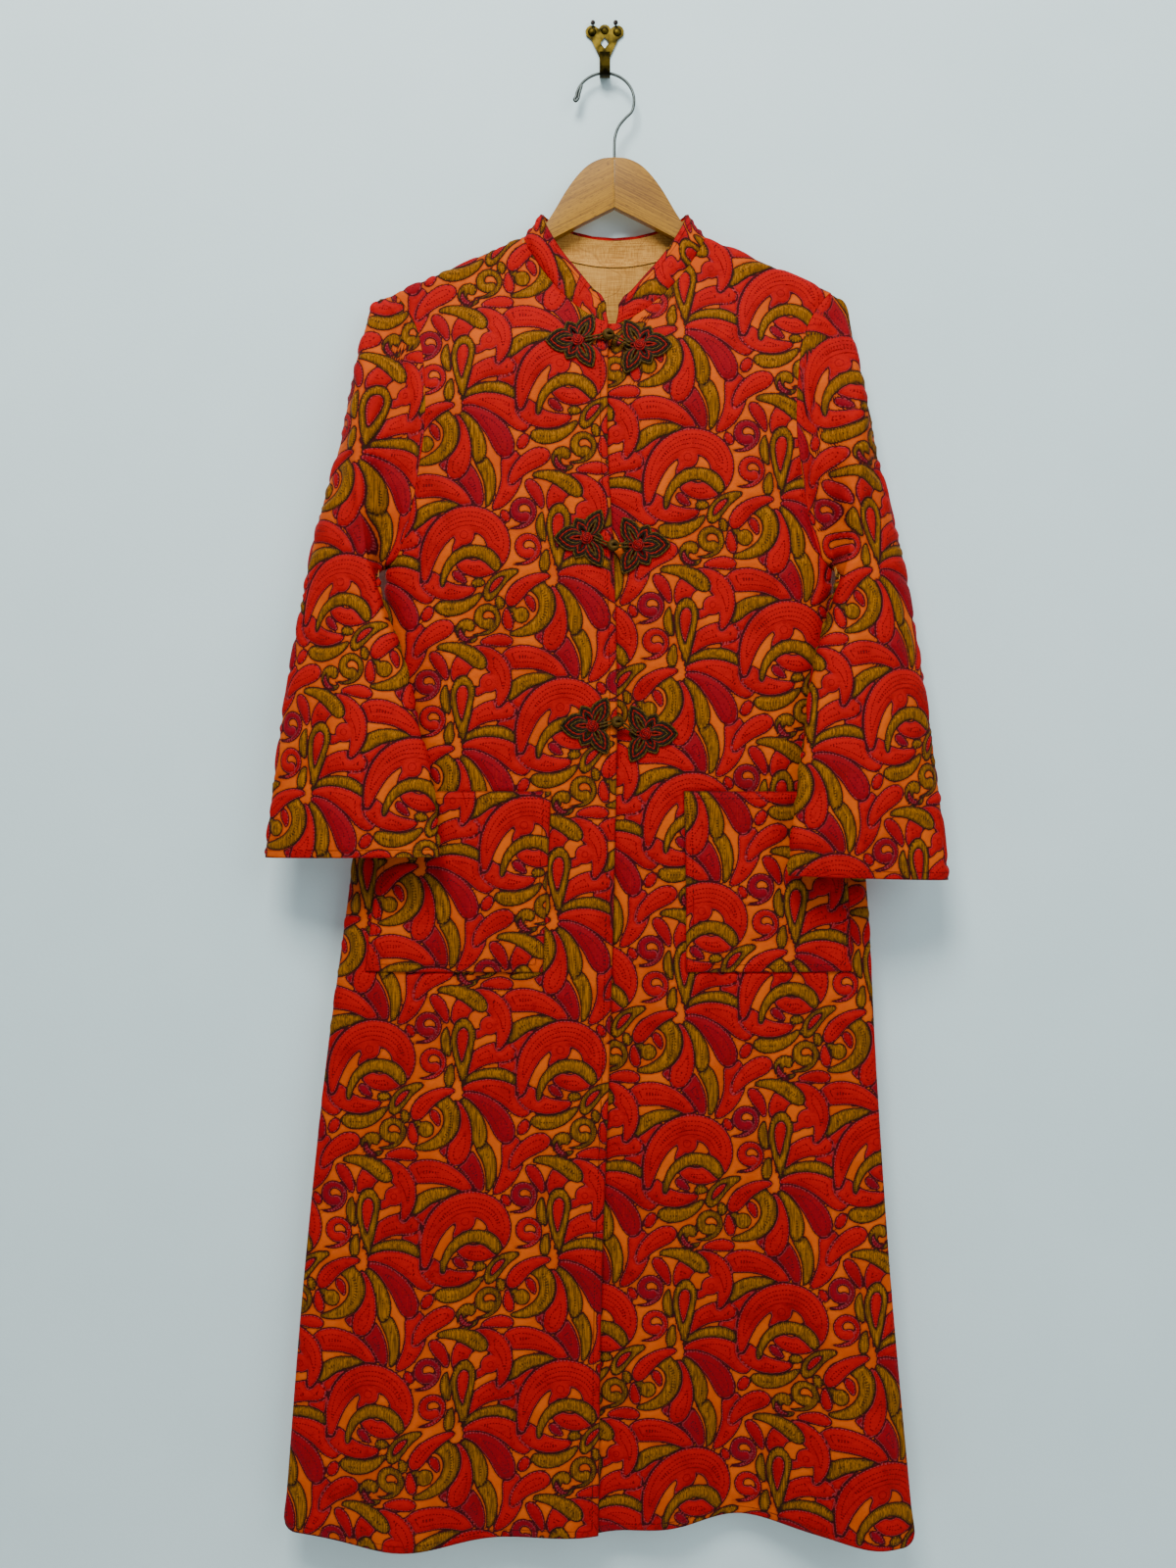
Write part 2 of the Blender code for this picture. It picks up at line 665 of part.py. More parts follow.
def make_sleeve(name, table, ring, side_sign):
    """A sleeve lofted from the armhole ring through the rings of its table."""
    leave = edge_leave(ring["outer"], ring["normals"], True, side_sign) * SEAM_GAP
    keys = np.concatenate(((0.0,), table[:, 0]))
    rings = np.concatenate(([ring["outer"] + leave], [sleeve_ring(row) for row in table]))
    points = smooth_value(keys, rings, SLEEVE_ROWS)
    normals = grid_normals(points, closed=True)
    centre = points.mean(axis=1, keepdims=True)
    if np.mean(np.sum(normals * (points - centre), axis=-1)) < 0:
        normals = -normals
    around = np.cumsum(np.linalg.norm(np.diff(points, axis=1, append=points[:, :1]), axis=2), axis=1)
    keep = np.ones(points.shape[:2])
    keep[:PLAIN_TOP_ROWS] = 0.0
    keep[-1] = 0.0
    quilt = quilt_height(around * side_sign, points[..., 2]) * keep
    outer = points + normals * quilt[..., None]
    inner = points - normals * WALL
    inner[0] = ring["inner"] + leave
    make_wall(name, outer, inner, "quilt", SLEEVE_HEAD_ROWS, closed=True, turn_from=len(YOKE_ROWS) - 1)


def neck_ring(right, left, back):
    """Edge of the neck from the right front's end round the back to the left front's end."""
    first = BACK_SHOULDER_COLUMNS
    last = BACK_SHOULDER_COLUMNS + BACK_NECK_COLUMNS
    ring = {}
    for key in ("outer", "inner", "normals"):
        right_edge = right[key][0, :RIGHT_NECK_COLUMN + 1]
        back_edge = back[key][0, first:last + 1]
        left_edge = left[key][0, LEFT_START_COLUMN:LEFT_NECK_COLUMN + 1][::-1]
        right_side = (right_edge[-1] + back_edge[0]) / 2
        left_side = (left_edge[0] + back_edge[-1]) / 2
        ring[key] = np.concatenate((right_edge[:-1], [right_side], back_edge[1:-1],
                                    [left_side], left_edge[1:]))
    return ring


def make_collar(right, left, back):
    """The stand collar and its plain facing."""
    ring = neck_ring(right, left, back)
    base = ring["outer"]
    normals = unit(ring["normals"])
    step = edge_leave(base, normals, False, -1.0)
    leave = unit(step)
    rise = unit(leave * (1.0 - COLLAR_LEAN) + np.array((0.0, 0.0, COLLAR_LEAN)))
    height = np.full(len(base), COLLAR_HEIGHT)
    height[[0, -1]] *= COLLAR_END_HEIGHT
    levels = np.linspace(0.0, 1.0, COLLAR_ROWS + 1)
    start = base + step * SEAM_GAP
    outer = np.array([start + (leave * (1 - level) + rise * level) * (height * level)[:, None]
                      for level in levels])
    wall_normals = grid_normals(outer)
    if np.sum(wall_normals[0] * normals) < 0:
        wall_normals = -wall_normals
    inner = outer - wall_normals * WALL
    inner[0] = ring["inner"] + step * SEAM_GAP
    left_from = RIGHT_NECK_COLUMN + BACK_NECK_COLUMNS
    make_wall("collar", outer, inner, "quilt", turn_from=left_from)
    lining_outer = inner - wall_normals * SEAM_GAP
    lining_inner = lining_outer - wall_normals * FACING_WALL
    make_wall("collar_facing", lining_outer[1:], lining_inner[1:], "muslin")


def make_pocket(name, front, columns):
    """A patch pocket made from the front's own points, moved out."""
    rows = slice(len(YOKE_ROWS) - 1 + WAIST_ROWS, len(YOKE_ROWS) + WAIST_ROWS + POCKET_ROWS)
    span = slice(columns[0], columns[1] + 1)
    normals = front["normals"][rows, span]
    inner = front["outer"][rows, span] + normals * PATCH_GAP
    outer = inner + normals * WALL
    make_wall(name, outer, inner, "quilt")


def surface_of(name):
    """A ray-casting tree of one object's faces, in millimetres."""
    mesh = bpy.data.objects[name].data
    points = [tuple(value / MM for value in vertex.co) for vertex in mesh.vertices]
    return BVHTree.FromPolygons(points, [tuple(face.vertices) for face in mesh.polygons])


def front_of(surface, x, z):
    """Y of the first face met when looking into the wall at x and z."""
    return surface.ray_cast((x, -500.0, z), (0.0, 1.0, 0.0))[0][1]


def make_frog(name, x, z, outward, surface):
    """A looped cord flower as a lobed plate that follows the front."""
    angles = np.arange(FROG_ANGLES) * 2 * math.pi / FROG_ANGLES
    reach = np.full(FROG_ANGLES, FROG_EYE)
    for turn, length, half_angle in PETALS:
        apart = np.abs((np.degrees(angles) - turn + 180.0) % 360.0 - 180.0) / half_angle
        petal = length * np.sqrt(np.clip(np.cos(np.minimum(apart, 1.0) * math.pi / 2), 0.0, 1.0))
        reach = np.maximum(reach, petal)
    points = []
    for lifted in (True, False):
        for level, height in zip(FROG_LEVELS, FROG_HEIGHTS):
            count = 1 if level == 0.0 else FROG_ANGLES
            for index in range(count):
                point_x = x + outward * level * reach[index] * math.cos(angles[index])
                point_z = z + level * reach[index] * math.sin(angles[index])
                ground = front_of(surface, point_x, point_z) - FROG_GAP
                points.append((point_x, ground - (height if lifted else 0.0), point_z))
    faces = []
    half = len(points) // 2
    for index in range(FROG_ANGLES):
        following = (index + 1) % FROG_ANGLES
        inner, inner_next = 1 + index, 1 + following
        rim, rim_next = inner + FROG_ANGLES, inner_next + FROG_ANGLES
        for face in ((0, inner, inner_next), (inner, rim, rim_next, inner_next)):
            faces.append(face)
            faces.append(tuple(half + corner for corner in face[::-1]))
        faces.append((rim, half + rim, half + rim_next, rim_next))
    make_object(name, points, faces, "cord")


def make_knot(name, x, z, surface):
    """The knot and loop that close a fastener, as a flattened ball on the lap."""
    half_x, half_y, half_z = KNOT_HALF
    edge = min(x, float(body("lap_edge", z)) - 1.0)
    ground = min(front_of(surface, place, z) for place in (edge, edge - half_x / 2, edge - half_x))
    centre_y = ground - half_y - KNOT_GAP
    points = [(x, centre_y - half_y, z)]
    for ring in range(1, KNOT_RINGS):
        polar = math.pi * ring / KNOT_RINGS
        for side in range(KNOT_SIDES):
            turn = 2 * math.pi * side / KNOT_SIDES
            points.append((x + half_x * math.sin(polar) * math.cos(turn),
                           centre_y - half_y * math.cos(polar),
                           z + half_z * math.sin(polar) * math.sin(turn)))
    points.append((x, centre_y + half_y, z))
    make_object(name, points, ball_faces(KNOT_RINGS, KNOT_SIDES), "cord")


def ball_faces(rings, sides):
    """Faces of a ball of rings between two poles."""
    faces = []
    pole = 1 + (rings - 1) * sides
    for side in range(sides):
        following = (side + 1) % sides
        faces.append((0, 1 + side, 1 + following))
        for ring in range(rings - 2):
            start = 1 + ring * sides
            faces.append((start + side, start + sides + side, start + sides + following, start + following))
        start = 1 + (rings - 2) * sides
        faces.append((start + side, pole, start + following))
    return faces


def lofted(name, rings, slot):
    """A solid lofted through rings of equal point counts, with flat ends."""
    rings = np.asarray(rings, float)
    count = rings.shape[1]
    ids = np.arange(rings.shape[0] * count).reshape(rings.shape[:2])
    faces = grid_faces(ids, True, False)
    faces.append(tuple(int(point) for point in ids[0][::-1]))
    faces.append(tuple(int(point) for point in ids[-1]))
    return make_object(name, rings.reshape(-1, 3), faces, slot)


def hanger_section(side_sign, across):
    """Rounded section of a hanger arm at a distance from its middle."""
    x = HANGER_X + side_sign * (across if across else SEAM_GAP / 2)
    crown_top, bottom = -smooth_value(CROWN[:, 0], CROWN[:, 1:], across)
    wall_drop = WALL * math.hypot(1.0, SHOULDER_SLOPE)
    top = crown_top
    if abs(x - NECK_CENTRE) > NECK_HALF:
        top = min(crown_top, shoulder_height(x) - wall_drop - HANGER_REST)
    trim = np.interp(across, *zip(*HANGER_END))
    top -= trim
    bottom += trim
    upper = [(offset, top - drop) for offset, drop in WOOD_EDGE]
    lower = [(offset, bottom + rise) for offset, rise in HANGER_LOWER_EDGE]
    half = upper + lower
    other = [(-offset, height) for offset, height in half[::-1] if offset > 0]
    return [(x, HANGER_Y + offset, height) for offset, height in half + other]


def make_hanger():
    """Both arms of the hanger, which meet at a glued seam under the hook."""
    for side_sign, name in ((-1, "hanger_arm_right"), (1, "hanger_arm_left")):
        rings = [hanger_section(side_sign, across) for across in HANGER_STATIONS]
        lofted(name, rings, "beech")


def tube_rings(path, radius, sides):
    """Rings of a round wire along a path that lies nearly in one upright plane."""
    path = np.asarray(path, float)
    tangent = unit(np.gradient(path, axis=0))
    across = unit(np.cross(tangent, np.array((0.0, 1.0, 0.0))))
    up = np.cross(across, tangent)
    turns = np.arange(sides) * 2 * math.pi / sides
    return [point + radius * (np.cos(turns)[:, None] * side + np.sin(turns)[:, None] * rise)
            for point, side, rise in zip(path, across, up)]


def hook_path():
    """The wire: stem, swan neck, a round bow over the wall hook and a tip that is folded back."""
    bow = []
    for angle in np.linspace(*HOOK_TURN, HOOK_BOW_POINTS):
        turn = math.radians(angle)
        bow.append((HOOK_RADIUS * math.cos(turn), HOOK_CENTRE_Z + HOOK_RADIUS * math.sin(turn)))
    flat = np.array(HOOK_STEM + tuple(bow) + HOOK_TIP)
    length = np.concatenate(((0.0,), np.cumsum(np.linalg.norm(np.diff(flat, axis=0), axis=1))))
    fine = smooth_value(length, flat, np.linspace(0.0, length[-1], HOOK_POINTS))
    top = HOOK_CENTRE_Z + HOOK_RADIUS
    lean = (fine[:, 1] - top) / (HOOK_STEM[0][1] - top)
    depth = HOOK_TOP_Y + (HANGER_Y - HOOK_TOP_Y) * lean
    return np.column_stack((fine[:, 0], depth, fine[:, 1]))


def shank_path():
    """Side view of the brass strip: down the wall, round the bend and up to the lip, as y and z."""
    middle = -BRASS_THICK / 2
    path = [(middle, SHANK_TOP), (middle, 0.0)]
    for turn in np.linspace(0.0, math.pi, BEND_POINTS):
        path.append((middle - BEND_RADIUS * (1 - math.cos(turn)),
                     BEND_CENTRE_Z - BEND_RADIUS * math.sin(turn)))
    path.append((middle - 2 * BEND_RADIUS - LIP_FLARE, BEND_CENTRE_Z + LIP_RISE))
    return np.array(path)


def make_wall_hook():
    """The brass hook: a bent strip joined to a pierced plate with three lobes."""
    path = shank_path()
    along = unit(np.gradient(path, axis=0))
    normal = np.column_stack((-along[:, 1], along[:, 0])) * BRASS_THICK / 2
    normal[:2] = (-BRASS_THICK / 2, 0.0)
    half = SHANK_WIDTH / 2
    rings = []
    for (y, z), (step_y, step_z) in zip(path, normal):
        rings.append([(-half, y - step_y, z - step_z), (half, y - step_y, z - step_z),
                      (half, y + step_y, z + step_z), (-half, y + step_y, z + step_z)])
    strip = lofted("wall_hook", rings, "brass")
    plate = make_plate()
    join = strip.modifiers.new("join plate", "BOOLEAN")
    join.operation = "UNION"
    join.solver = "EXACT"
    join.object = plate
    plate.hide_render = True
    plate.display_type = "WIRE"


def plate_reach(turn):
    """Distance from the plate's hole to its outline in one direction."""
    direction = np.array((math.cos(turn), math.sin(turn)))
    reach = 0.0
    for lobe_x, lobe_z, radius in PLATE_LOBES:
        to_lobe = np.array((lobe_x, lobe_z - PLATE_CENTRE_Z))
        along = float(to_lobe @ direction)
        aside = float(to_lobe @ to_lobe) - along * along
        if aside < radius * radius:
            reach = max(reach, along + math.sqrt(radius * radius - aside))
    corners = [np.array((x, z - PLATE_CENTRE_Z)) for x, z in PLATE_BODY]
    for start, end in zip(corners, corners[1:] + corners[:1]):
        edge = end - start
        cross = direction[0] * edge[1] - direction[1] * edge[0]
        if abs(cross) > 1e-9:
            distance = (start[0] * edge[1] - start[1] * edge[0]) / cross
            share = (start[0] * direction[1] - start[1] * direction[0]) / cross
            if distance > 0 and -1e-9 <= share <= 1 + 1e-9:
                reach = max(reach, distance)
    return reach


def make_plate():
    """The pierced plate, flat on the wall."""
    front, back = [], []
    for index in range(PLATE_POINTS):
        turn = 2 * math.pi * (index + 0.5) / PLATE_POINTS
        hole = 1.0 / (abs(math.cos(turn)) / PLATE_HOLE[0] + abs(math.sin(turn)) / PLATE_HOLE[1])
        for distance in (hole, plate_reach(turn)):
            x = distance * math.cos(turn)
            z = PLATE_CENTRE_Z + distance * math.sin(turn)
            front.append((x, -BRASS_THICK, z))
            back.append((x, 0.0, z))
    half = len(front)
    faces = []
    for index in range(PLATE_POINTS):
        hole, rim = 2 * index, 2 * index + 1
        hole_next, rim_next = 2 * ((index + 1) % PLATE_POINTS), 2 * ((index + 1) % PLATE_POINTS) + 1
        faces.append((hole, rim, rim_next, hole_next))
        faces.append((half + hole_next, half + rim_next, half + rim, half + hole))
        faces.append((rim, half + rim, half + rim_next, rim_next))
        faces.append((hole_next, half + hole_next, half + hole, hole))
    return make_object("wall_hook_plate", front + back, faces, "brass")


def make_nails():
    """Two nails just above the plate, with their heads proud of it."""
    for number, (x, z) in enumerate(NAIL_PLACES, 1):
        points = [(x, NAIL_PROFILE[0][1], z)]
        for radius, depth in NAIL_PROFILE[1:-1]:
            for side in range(NAIL_SIDES):
                turn = 2 * math.pi * side / NAIL_SIDES
                points.append((x + radius * math.cos(turn), depth, z + radius * math.sin(turn)))
        points.append((x, NAIL_PROFILE[-1][1], z))
        faces = ball_faces(len(NAIL_PROFILE) - 1, NAIL_SIDES)
        make_object(f"wall_nail_{number}", points, faces, "nail")


def make_frogs():
    """Three fasteners, each with a flower on either front and a knot on the lap."""
    right_surface = surface_of("front_right")
    left_surface = surface_of("front_left")
    for number, (right_x, right_z, left_x, left_z, knot_x, knot_z) in enumerate(FROGS, 1):
        make_frog(f"frog_right_{number}", right_x, right_z, -1, right_surface)
        make_frog(f"frog_left_{number}", left_x, left_z, 1, left_surface)
        make_knot(f"frog_knot_{number}", knot_x, knot_z, right_surface)


def make_coat():
    """All cloth pieces, in the order that they are joined."""
    right = make_front(-1, "front_right")
    left = make_front(1, "front_left")
    back = make_back()
    make_sleeve("sleeve_right", RIGHT_SLEEVE, armhole_ring(right, back, -1, 0), -1)
    make_sleeve("sleeve_left", LEFT_SLEEVE, armhole_ring(left, back, -1, -1), 1)
    make_collar(right, left, back)
    make_pocket("pocket_right", right, RIGHT_POCKET)
    make_pocket("pocket_left", left, LEFT_POCKET)
    make_frogs()


make_coat()
make_hanger()
lofted("hanger_hook", tube_rings(hook_path(), WIRE_RADIUS, WIRE_SIDES), "steel")
make_wall_hook()
make_nails()
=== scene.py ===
# %% [markdown]
# # A quilted coat on a wooden hanger
#
# The coat is printed cotton, quilted over thin wadding with a muslin backing. It hangs flat against a
# wall on a beech hanger, whose wire hook sits in a small brass wall hook. This lesson dresses the packed
# solids: it rebuilds every cloth piece as a fine wall on the same sections, draws a print of its own on it,
# raises the quilting along that print, and adds the cords, the wood and the metal.
#
# The first cell loads the imported model.

# %% Load the frame
import math

import bpy
import numpy as np
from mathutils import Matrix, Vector


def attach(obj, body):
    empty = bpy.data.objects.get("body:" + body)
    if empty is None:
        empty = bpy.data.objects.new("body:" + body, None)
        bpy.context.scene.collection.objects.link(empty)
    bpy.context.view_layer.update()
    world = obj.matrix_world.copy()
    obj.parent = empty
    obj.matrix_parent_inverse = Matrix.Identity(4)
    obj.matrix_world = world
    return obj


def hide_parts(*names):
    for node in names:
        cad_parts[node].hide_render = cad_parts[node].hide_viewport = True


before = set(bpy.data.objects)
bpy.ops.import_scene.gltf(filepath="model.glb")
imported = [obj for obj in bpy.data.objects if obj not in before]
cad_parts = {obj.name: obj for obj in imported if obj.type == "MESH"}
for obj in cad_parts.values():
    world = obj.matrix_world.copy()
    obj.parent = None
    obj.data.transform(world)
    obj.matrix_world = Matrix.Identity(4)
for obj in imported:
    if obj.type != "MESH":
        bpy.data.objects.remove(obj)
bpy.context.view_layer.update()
MM = 0.001

# %% [markdown]
# ## Camera
#
# The photograph looks straight at the wall from about the height of the coat's middle. Its focal length was
# worked out from the hanger's size in the picture, so the camera needs no shift and no depth of field.

# %% Camera
CAMERA_PLACE = (-0.0178, -1.570, -0.7746)
CAMERA_LENS = 33.75
SENSOR_WIDTH = 36.0
camera = bpy.data.objects.new("photo_camera", bpy.data.cameras.new("photo_camera"))
camera.data.lens = CAMERA_LENS
camera.data.sensor_width = SENSOR_WIDTH
camera.location = CAMERA_PLACE
camera.rotation_euler = (math.radians(90.0), 0.0, 0.0)
bpy.context.scene.collection.objects.link(camera)
bpy.context.scene.camera = camera
print("camera at", CAMERA_PLACE)

# %% [markdown]
# ## Shader arithmetic
#
# A material is a graph of nodes. Wiring every sum by hand hides what it means, so one small class wraps a
# socket and lets it be added, multiplied and compared as a number would be. Every other node is made by one
# method, which sets the node's own settings first and then its sockets.


# %% Sockets that can be added and multiplied
class Wire:
    """A socket of a finish that takes part in sums."""

    def __init__(self, finish, socket):
        self.finish = finish
        self.socket = socket

    def __add__(self, other):
        return self.finish.sum("ADD", self, other)

    def __sub__(self, other):
        return self.finish.sum("SUBTRACT", self, other)

    def __rsub__(self, other):
        return self.finish.sum("SUBTRACT", other, self)

    def __mul__(self, other):
        return self.finish.sum("MULTIPLY", self, other)

    def __truediv__(self, other):
        return self.finish.sum("DIVIDE", self, other)

    def __abs__(self):
        return self.finish.sum("ABSOLUTE", self)

    __radd__ = __add__
    __rmul__ = __mul__


class Finish:
    """A material under construction."""

    def __init__(self, name):
        self.material = bpy.data.materials.new(name)
        self.material.use_nodes = True
        self.tree = self.material.node_tree
        self.shader = self.tree.nodes["Principled BSDF"]

    def node(self, kind, settings, sockets, output=0):
        """A node of a kind, with its settings, then its sockets by number or name."""
        made = self.tree.nodes.new(kind)
        for key, value in settings.items():
            setattr(made, key, value)
        for key, value in sockets.items():
            self.feed(made.inputs[key], value)
        return Wire(self, made.outputs[output])

    def feed(self, socket, value):
        """Links a wire to a socket, or sets its value."""
        if isinstance(value, Wire):
            self.tree.links.new(value.socket, socket)
        else:
            socket.default_value = value

    def sum(self, operation, *values):
        """The outcome of one sum, named as the shader's math node names it."""
        return self.node("ShaderNodeMath", {"operation": operation}, dict(enumerate(values)))

    def least(self, first, second):
        """The lesser of two values."""
        return self.sum("MINIMUM", first, second)

    def step(self, value, low, high):
        """A soft step from 0 at low to 1 at high."""
        return self.node("ShaderNodeMapRange", {"interpolation_type": "SMOOTHSTEP"},
                         {"Value": value, "From Min": low, "From Max": high})

    def mix(self, share, first, second):
        """A colour between two colours."""
        return self.node("ShaderNodeMix", {"data_type": "RGBA"}, {0: share, 6: first, 7: second}, 2)

    def place(self, stretch=(1.0, 1.0, 1.0), turn=(0.0, 0.0, 0.0)):
        """The piece's own coordinates, turned and then stretched."""
        place = self.node("ShaderNodeTexCoord", {}, {}, "Object")
        turned = self.node("ShaderNodeMapping", {}, {"Vector": place, "Rotation": turn})
        return self.node("ShaderNodeMapping", {}, {"Vector": turned, "Scale": stretch})

    def noise(self, vector, scale, detail=2.0):
        """Soft noise from about 0 to 1 at a place."""
        return self.node("ShaderNodeTexNoise", {}, {"Vector": vector, "Scale": scale, "Detail": detail})

    def carried(self, name):
        """A number that the mesh carries at its points."""
        return self.node("ShaderNodeAttribute", {"attribute_name": name}, {}, "Fac")

    def bump(self, height, distance, strength=1.0):
        """A normal that makes a height look raised."""
        return self.node("ShaderNodeBump", {},
                         {"Height": height, "Distance": distance, "Strength": strength})

    def surface(self, **sockets):
        """Feeds the Principled shader by socket names with underscores."""
        for key, value in sockets.items():
            self.feed(self.shader.inputs[key.replace("_", " ")], value)
        return self.material


def light_of(part):
    """One part of a screen colour, from 0 to 1, as light, by the usual screen curve."""
    return part / 12.92 if part <= 0.04045 else ((part + 0.055) / 1.055) ** 2.4


def colour(red, green, blue):
    """A colour of the screen, from 0 to 255, as the shader counts light."""
    return (*(light_of(part / 255.0) for part in (red, green, blue)), 1.0)


print("scarlet in light", [round(part, 3) for part in colour(200, 10, 10)])

# %% [markdown]
# ## Wall, floor and light
#
# The coat hangs on a smooth pale wall, so the wall is the backdrop and the floor lies below the picture.
# Both are stage, not part of the coat. A wall close behind the coat would hide it from the other side, so
# its rear face lets light and sight through, and it casts no shadow. The light is broad and soft and comes
# from the front, a little stronger above, with a weaker pair behind for the other views.

# %% Wall and floor
STAGE_SIZE = 8.0
WALL_BEHIND = 0.0006
WALL_MIDDLE = -0.8
FLOOR_LEVEL = -1.72


def stage_plane(name, place, turn):
    """A flat piece of the set."""
    bpy.ops.object.select_all(action="DESELECT")
    bpy.ops.mesh.primitive_plane_add(size=STAGE_SIZE, location=place, rotation=turn)
    plane = bpy.context.object
    plane.name = name
    return plane


def paint_wall():
    """Pale paint with a faint roller texture, clear from behind."""
    finish = Finish("wall_paint")
    mottle = finish.noise(finish.place(), 7.0, 4.0)
    roller = finish.noise(finish.place(), 260.0, 3.0)
    paint = finish.mix(mottle, colour(196, 220, 223), colour(206, 228, 231))
    finish.surface(Base_Color=paint, Roughness=0.75, Normal=finish.bump(roller, 0.0004, 0.35))
    behind = finish.node("ShaderNodeNewGeometry", {}, {}, "Backfacing")
    clear = finish.node("ShaderNodeBsdfTransparent", {}, {})
    painted = Wire(finish, finish.shader.outputs[0])
    both = finish.node("ShaderNodeMixShader", {}, {0: behind, 1: painted, 2: clear})
    finish.feed(finish.tree.nodes["Material Output"].inputs["Surface"], both)
    return finish.material


wall = stage_plane("wall", (0.0, WALL_BEHIND, WALL_MIDDLE), (math.radians(90.0), 0.0, 0.0))
wall.data.materials.append(paint_wall())
wall.visible_shadow = False
floor = stage_plane("floor", (0.0, 0.0, FLOOR_LEVEL), (0.0, 0.0, 0.0))
floor_finish = Finish("floor_paint")
floor.data.materials.append(floor_finish.surface(Base_Color=colour(205, 208, 208), Roughness=0.8))
print("stage", wall.name, floor.name)

# %% Lights
SKY_TINT = (0.86, 0.92, 1.0, 1.0)
SKY_STRENGTH = 0.36
# Columns: name, place, aim, size in metres, power in watts, tint
LIGHTS = (
    ("front_key", (-0.40, -1.9, 1.35), (0.0, 0.0, -0.38), 1.0, 102.0, (1.0, 0.985, 0.95)),
    ("front_fill", (1.6, -2.2, 0.3), (0.3, 0.0, -0.5), 1.8, 30.0, (0.93, 0.97, 1.0)),
    ("rear_left", (-1.2, 2.2, 0.2), (0.0, 0.0, -0.8), 1.8, 30.0, (1.0, 1.0, 1.0)),
    ("rear_right", (1.2, 2.2, 0.2), (0.0, 0.0, -0.8), 1.8, 30.0, (1.0, 1.0, 1.0)),
)
for light_name, place, aim, size, power, tint in LIGHTS:
    lamp = bpy.data.objects.new(light_name, bpy.data.lights.new(light_name, "AREA"))
    lamp.data.size = size
    lamp.data.energy = power
    lamp.data.color = tint
    lamp.location = place
    way = [end - start for start, end in zip(place, aim)]
    lamp.rotation_euler = Vector(way).to_track_quat("-Z", "Y").to_euler()
    bpy.context.scene.collection.objects.link(lamp)
sky = bpy.data.worlds.new("studio")
sky.use_nodes = True
background = sky.node_tree.nodes["Background"]
background.inputs["Color"].default_value = SKY_TINT
background.inputs["Strength"].default_value = SKY_STRENGTH
bpy.context.scene.world = sky
print("lights", len(LIGHTS))

# %% [markdown]
# ## The print
#
# The cloth carries a dense print of leaves in two reds and olive on orange. It could be an image, but an
# image is fixed in size and can't be cut by a sewing line. Here the print is drawn as strokes: each leaf is
# a curved spine with a changing width, in a half-drop repeat. What is kept on a raster of one millimetre is
# not colour but distance: two fields whose signs tell the four colours apart, so that every edge is a place
# where a field crosses zero, and stays sharp when it is read at the points of a mesh.
#
# The leaves are this lesson's own. Large ones are listed below, and a packer fills the gaps between them
# with the largest curl, leaf or bud that fits. The repeat is drawn large and read at a smaller scale.

# %% Strokes of the print
REPEAT_WIDTH = 240
REPEAT_DROP = 215
# Bit 1 of a colour is the olive field and bit 2 the red field; the ground is inside neither
OLIVE = 1
CRIMSON = 2
SCARLET = 3
FAR_OUTSIDE = 30.0
EMPTY_DEPTH = -14.0
# How far past its edge a stroke still sets the tone and the place along it
TONE_SPREAD = 1.0
RUN_SPREAD = 2.5
# Size of the print on the cloth, as a share of the size it is drawn at
PRINT_SCALE = 0.82


def running_length(points):
    """Length along a path, from 0 at its first point."""
    return np.concatenate(((0.0,), np.cumsum(np.linalg.norm(np.diff(points, axis=0), axis=1))))


def spine(x, y, heading, length, turn, curl, count):
    """Points of a curve that starts at x, y and turns as it goes, and the share of its length at each."""
    share = np.linspace(0.0, 1.0, count)
    angle = np.radians(heading + turn * share ** curl)
    step = length / (count - 1)
    along = np.column_stack((np.cos(angle), np.sin(angle)))[:-1] * step
    return np.concatenate((((x, y),), (x, y) + np.cumsum(along, axis=0))), share


def half_widths(kind, share, half):
    """Half-width of a stroke along its spine."""
    if kind == "lobe":
        return half * np.sqrt(np.clip(0.06 + 1.5 * share, 0.0, 1.0) * (1.0 - share ** 7)) + 0.4
    if kind == "scroll":
        return half * (0.16 + 0.84 * np.sin(np.pi * share ** 0.8) ** 0.9) + 0.4
    if kind == "drop":
        return half * np.sqrt(share ** 1.6 * (1.0 - share ** 6)) * 1.15 + 0.4
    if kind == "leaf":
        return half * np.sin(np.pi * share) ** 0.75 + 0.4
    if kind == "comma":
        return half * (1.0 - share) ** 0.55 * (1.0 - 0.35 * np.exp(-(share / 0.06) ** 2)) + 1.0
    if kind == "crook":
        return half * (0.28 + 0.72 * share ** 1.6) * np.sqrt(np.clip(share * 6.0, 0.0, 1.0)) + 0.3
    if kind == "plume":
        return half * np.sqrt(share ** 0.9 * (1.0 - share ** 9)) * 1.06 + 0.6
    return half * np.sqrt(share * (1.0 - share)) * 2.0 + 0.4


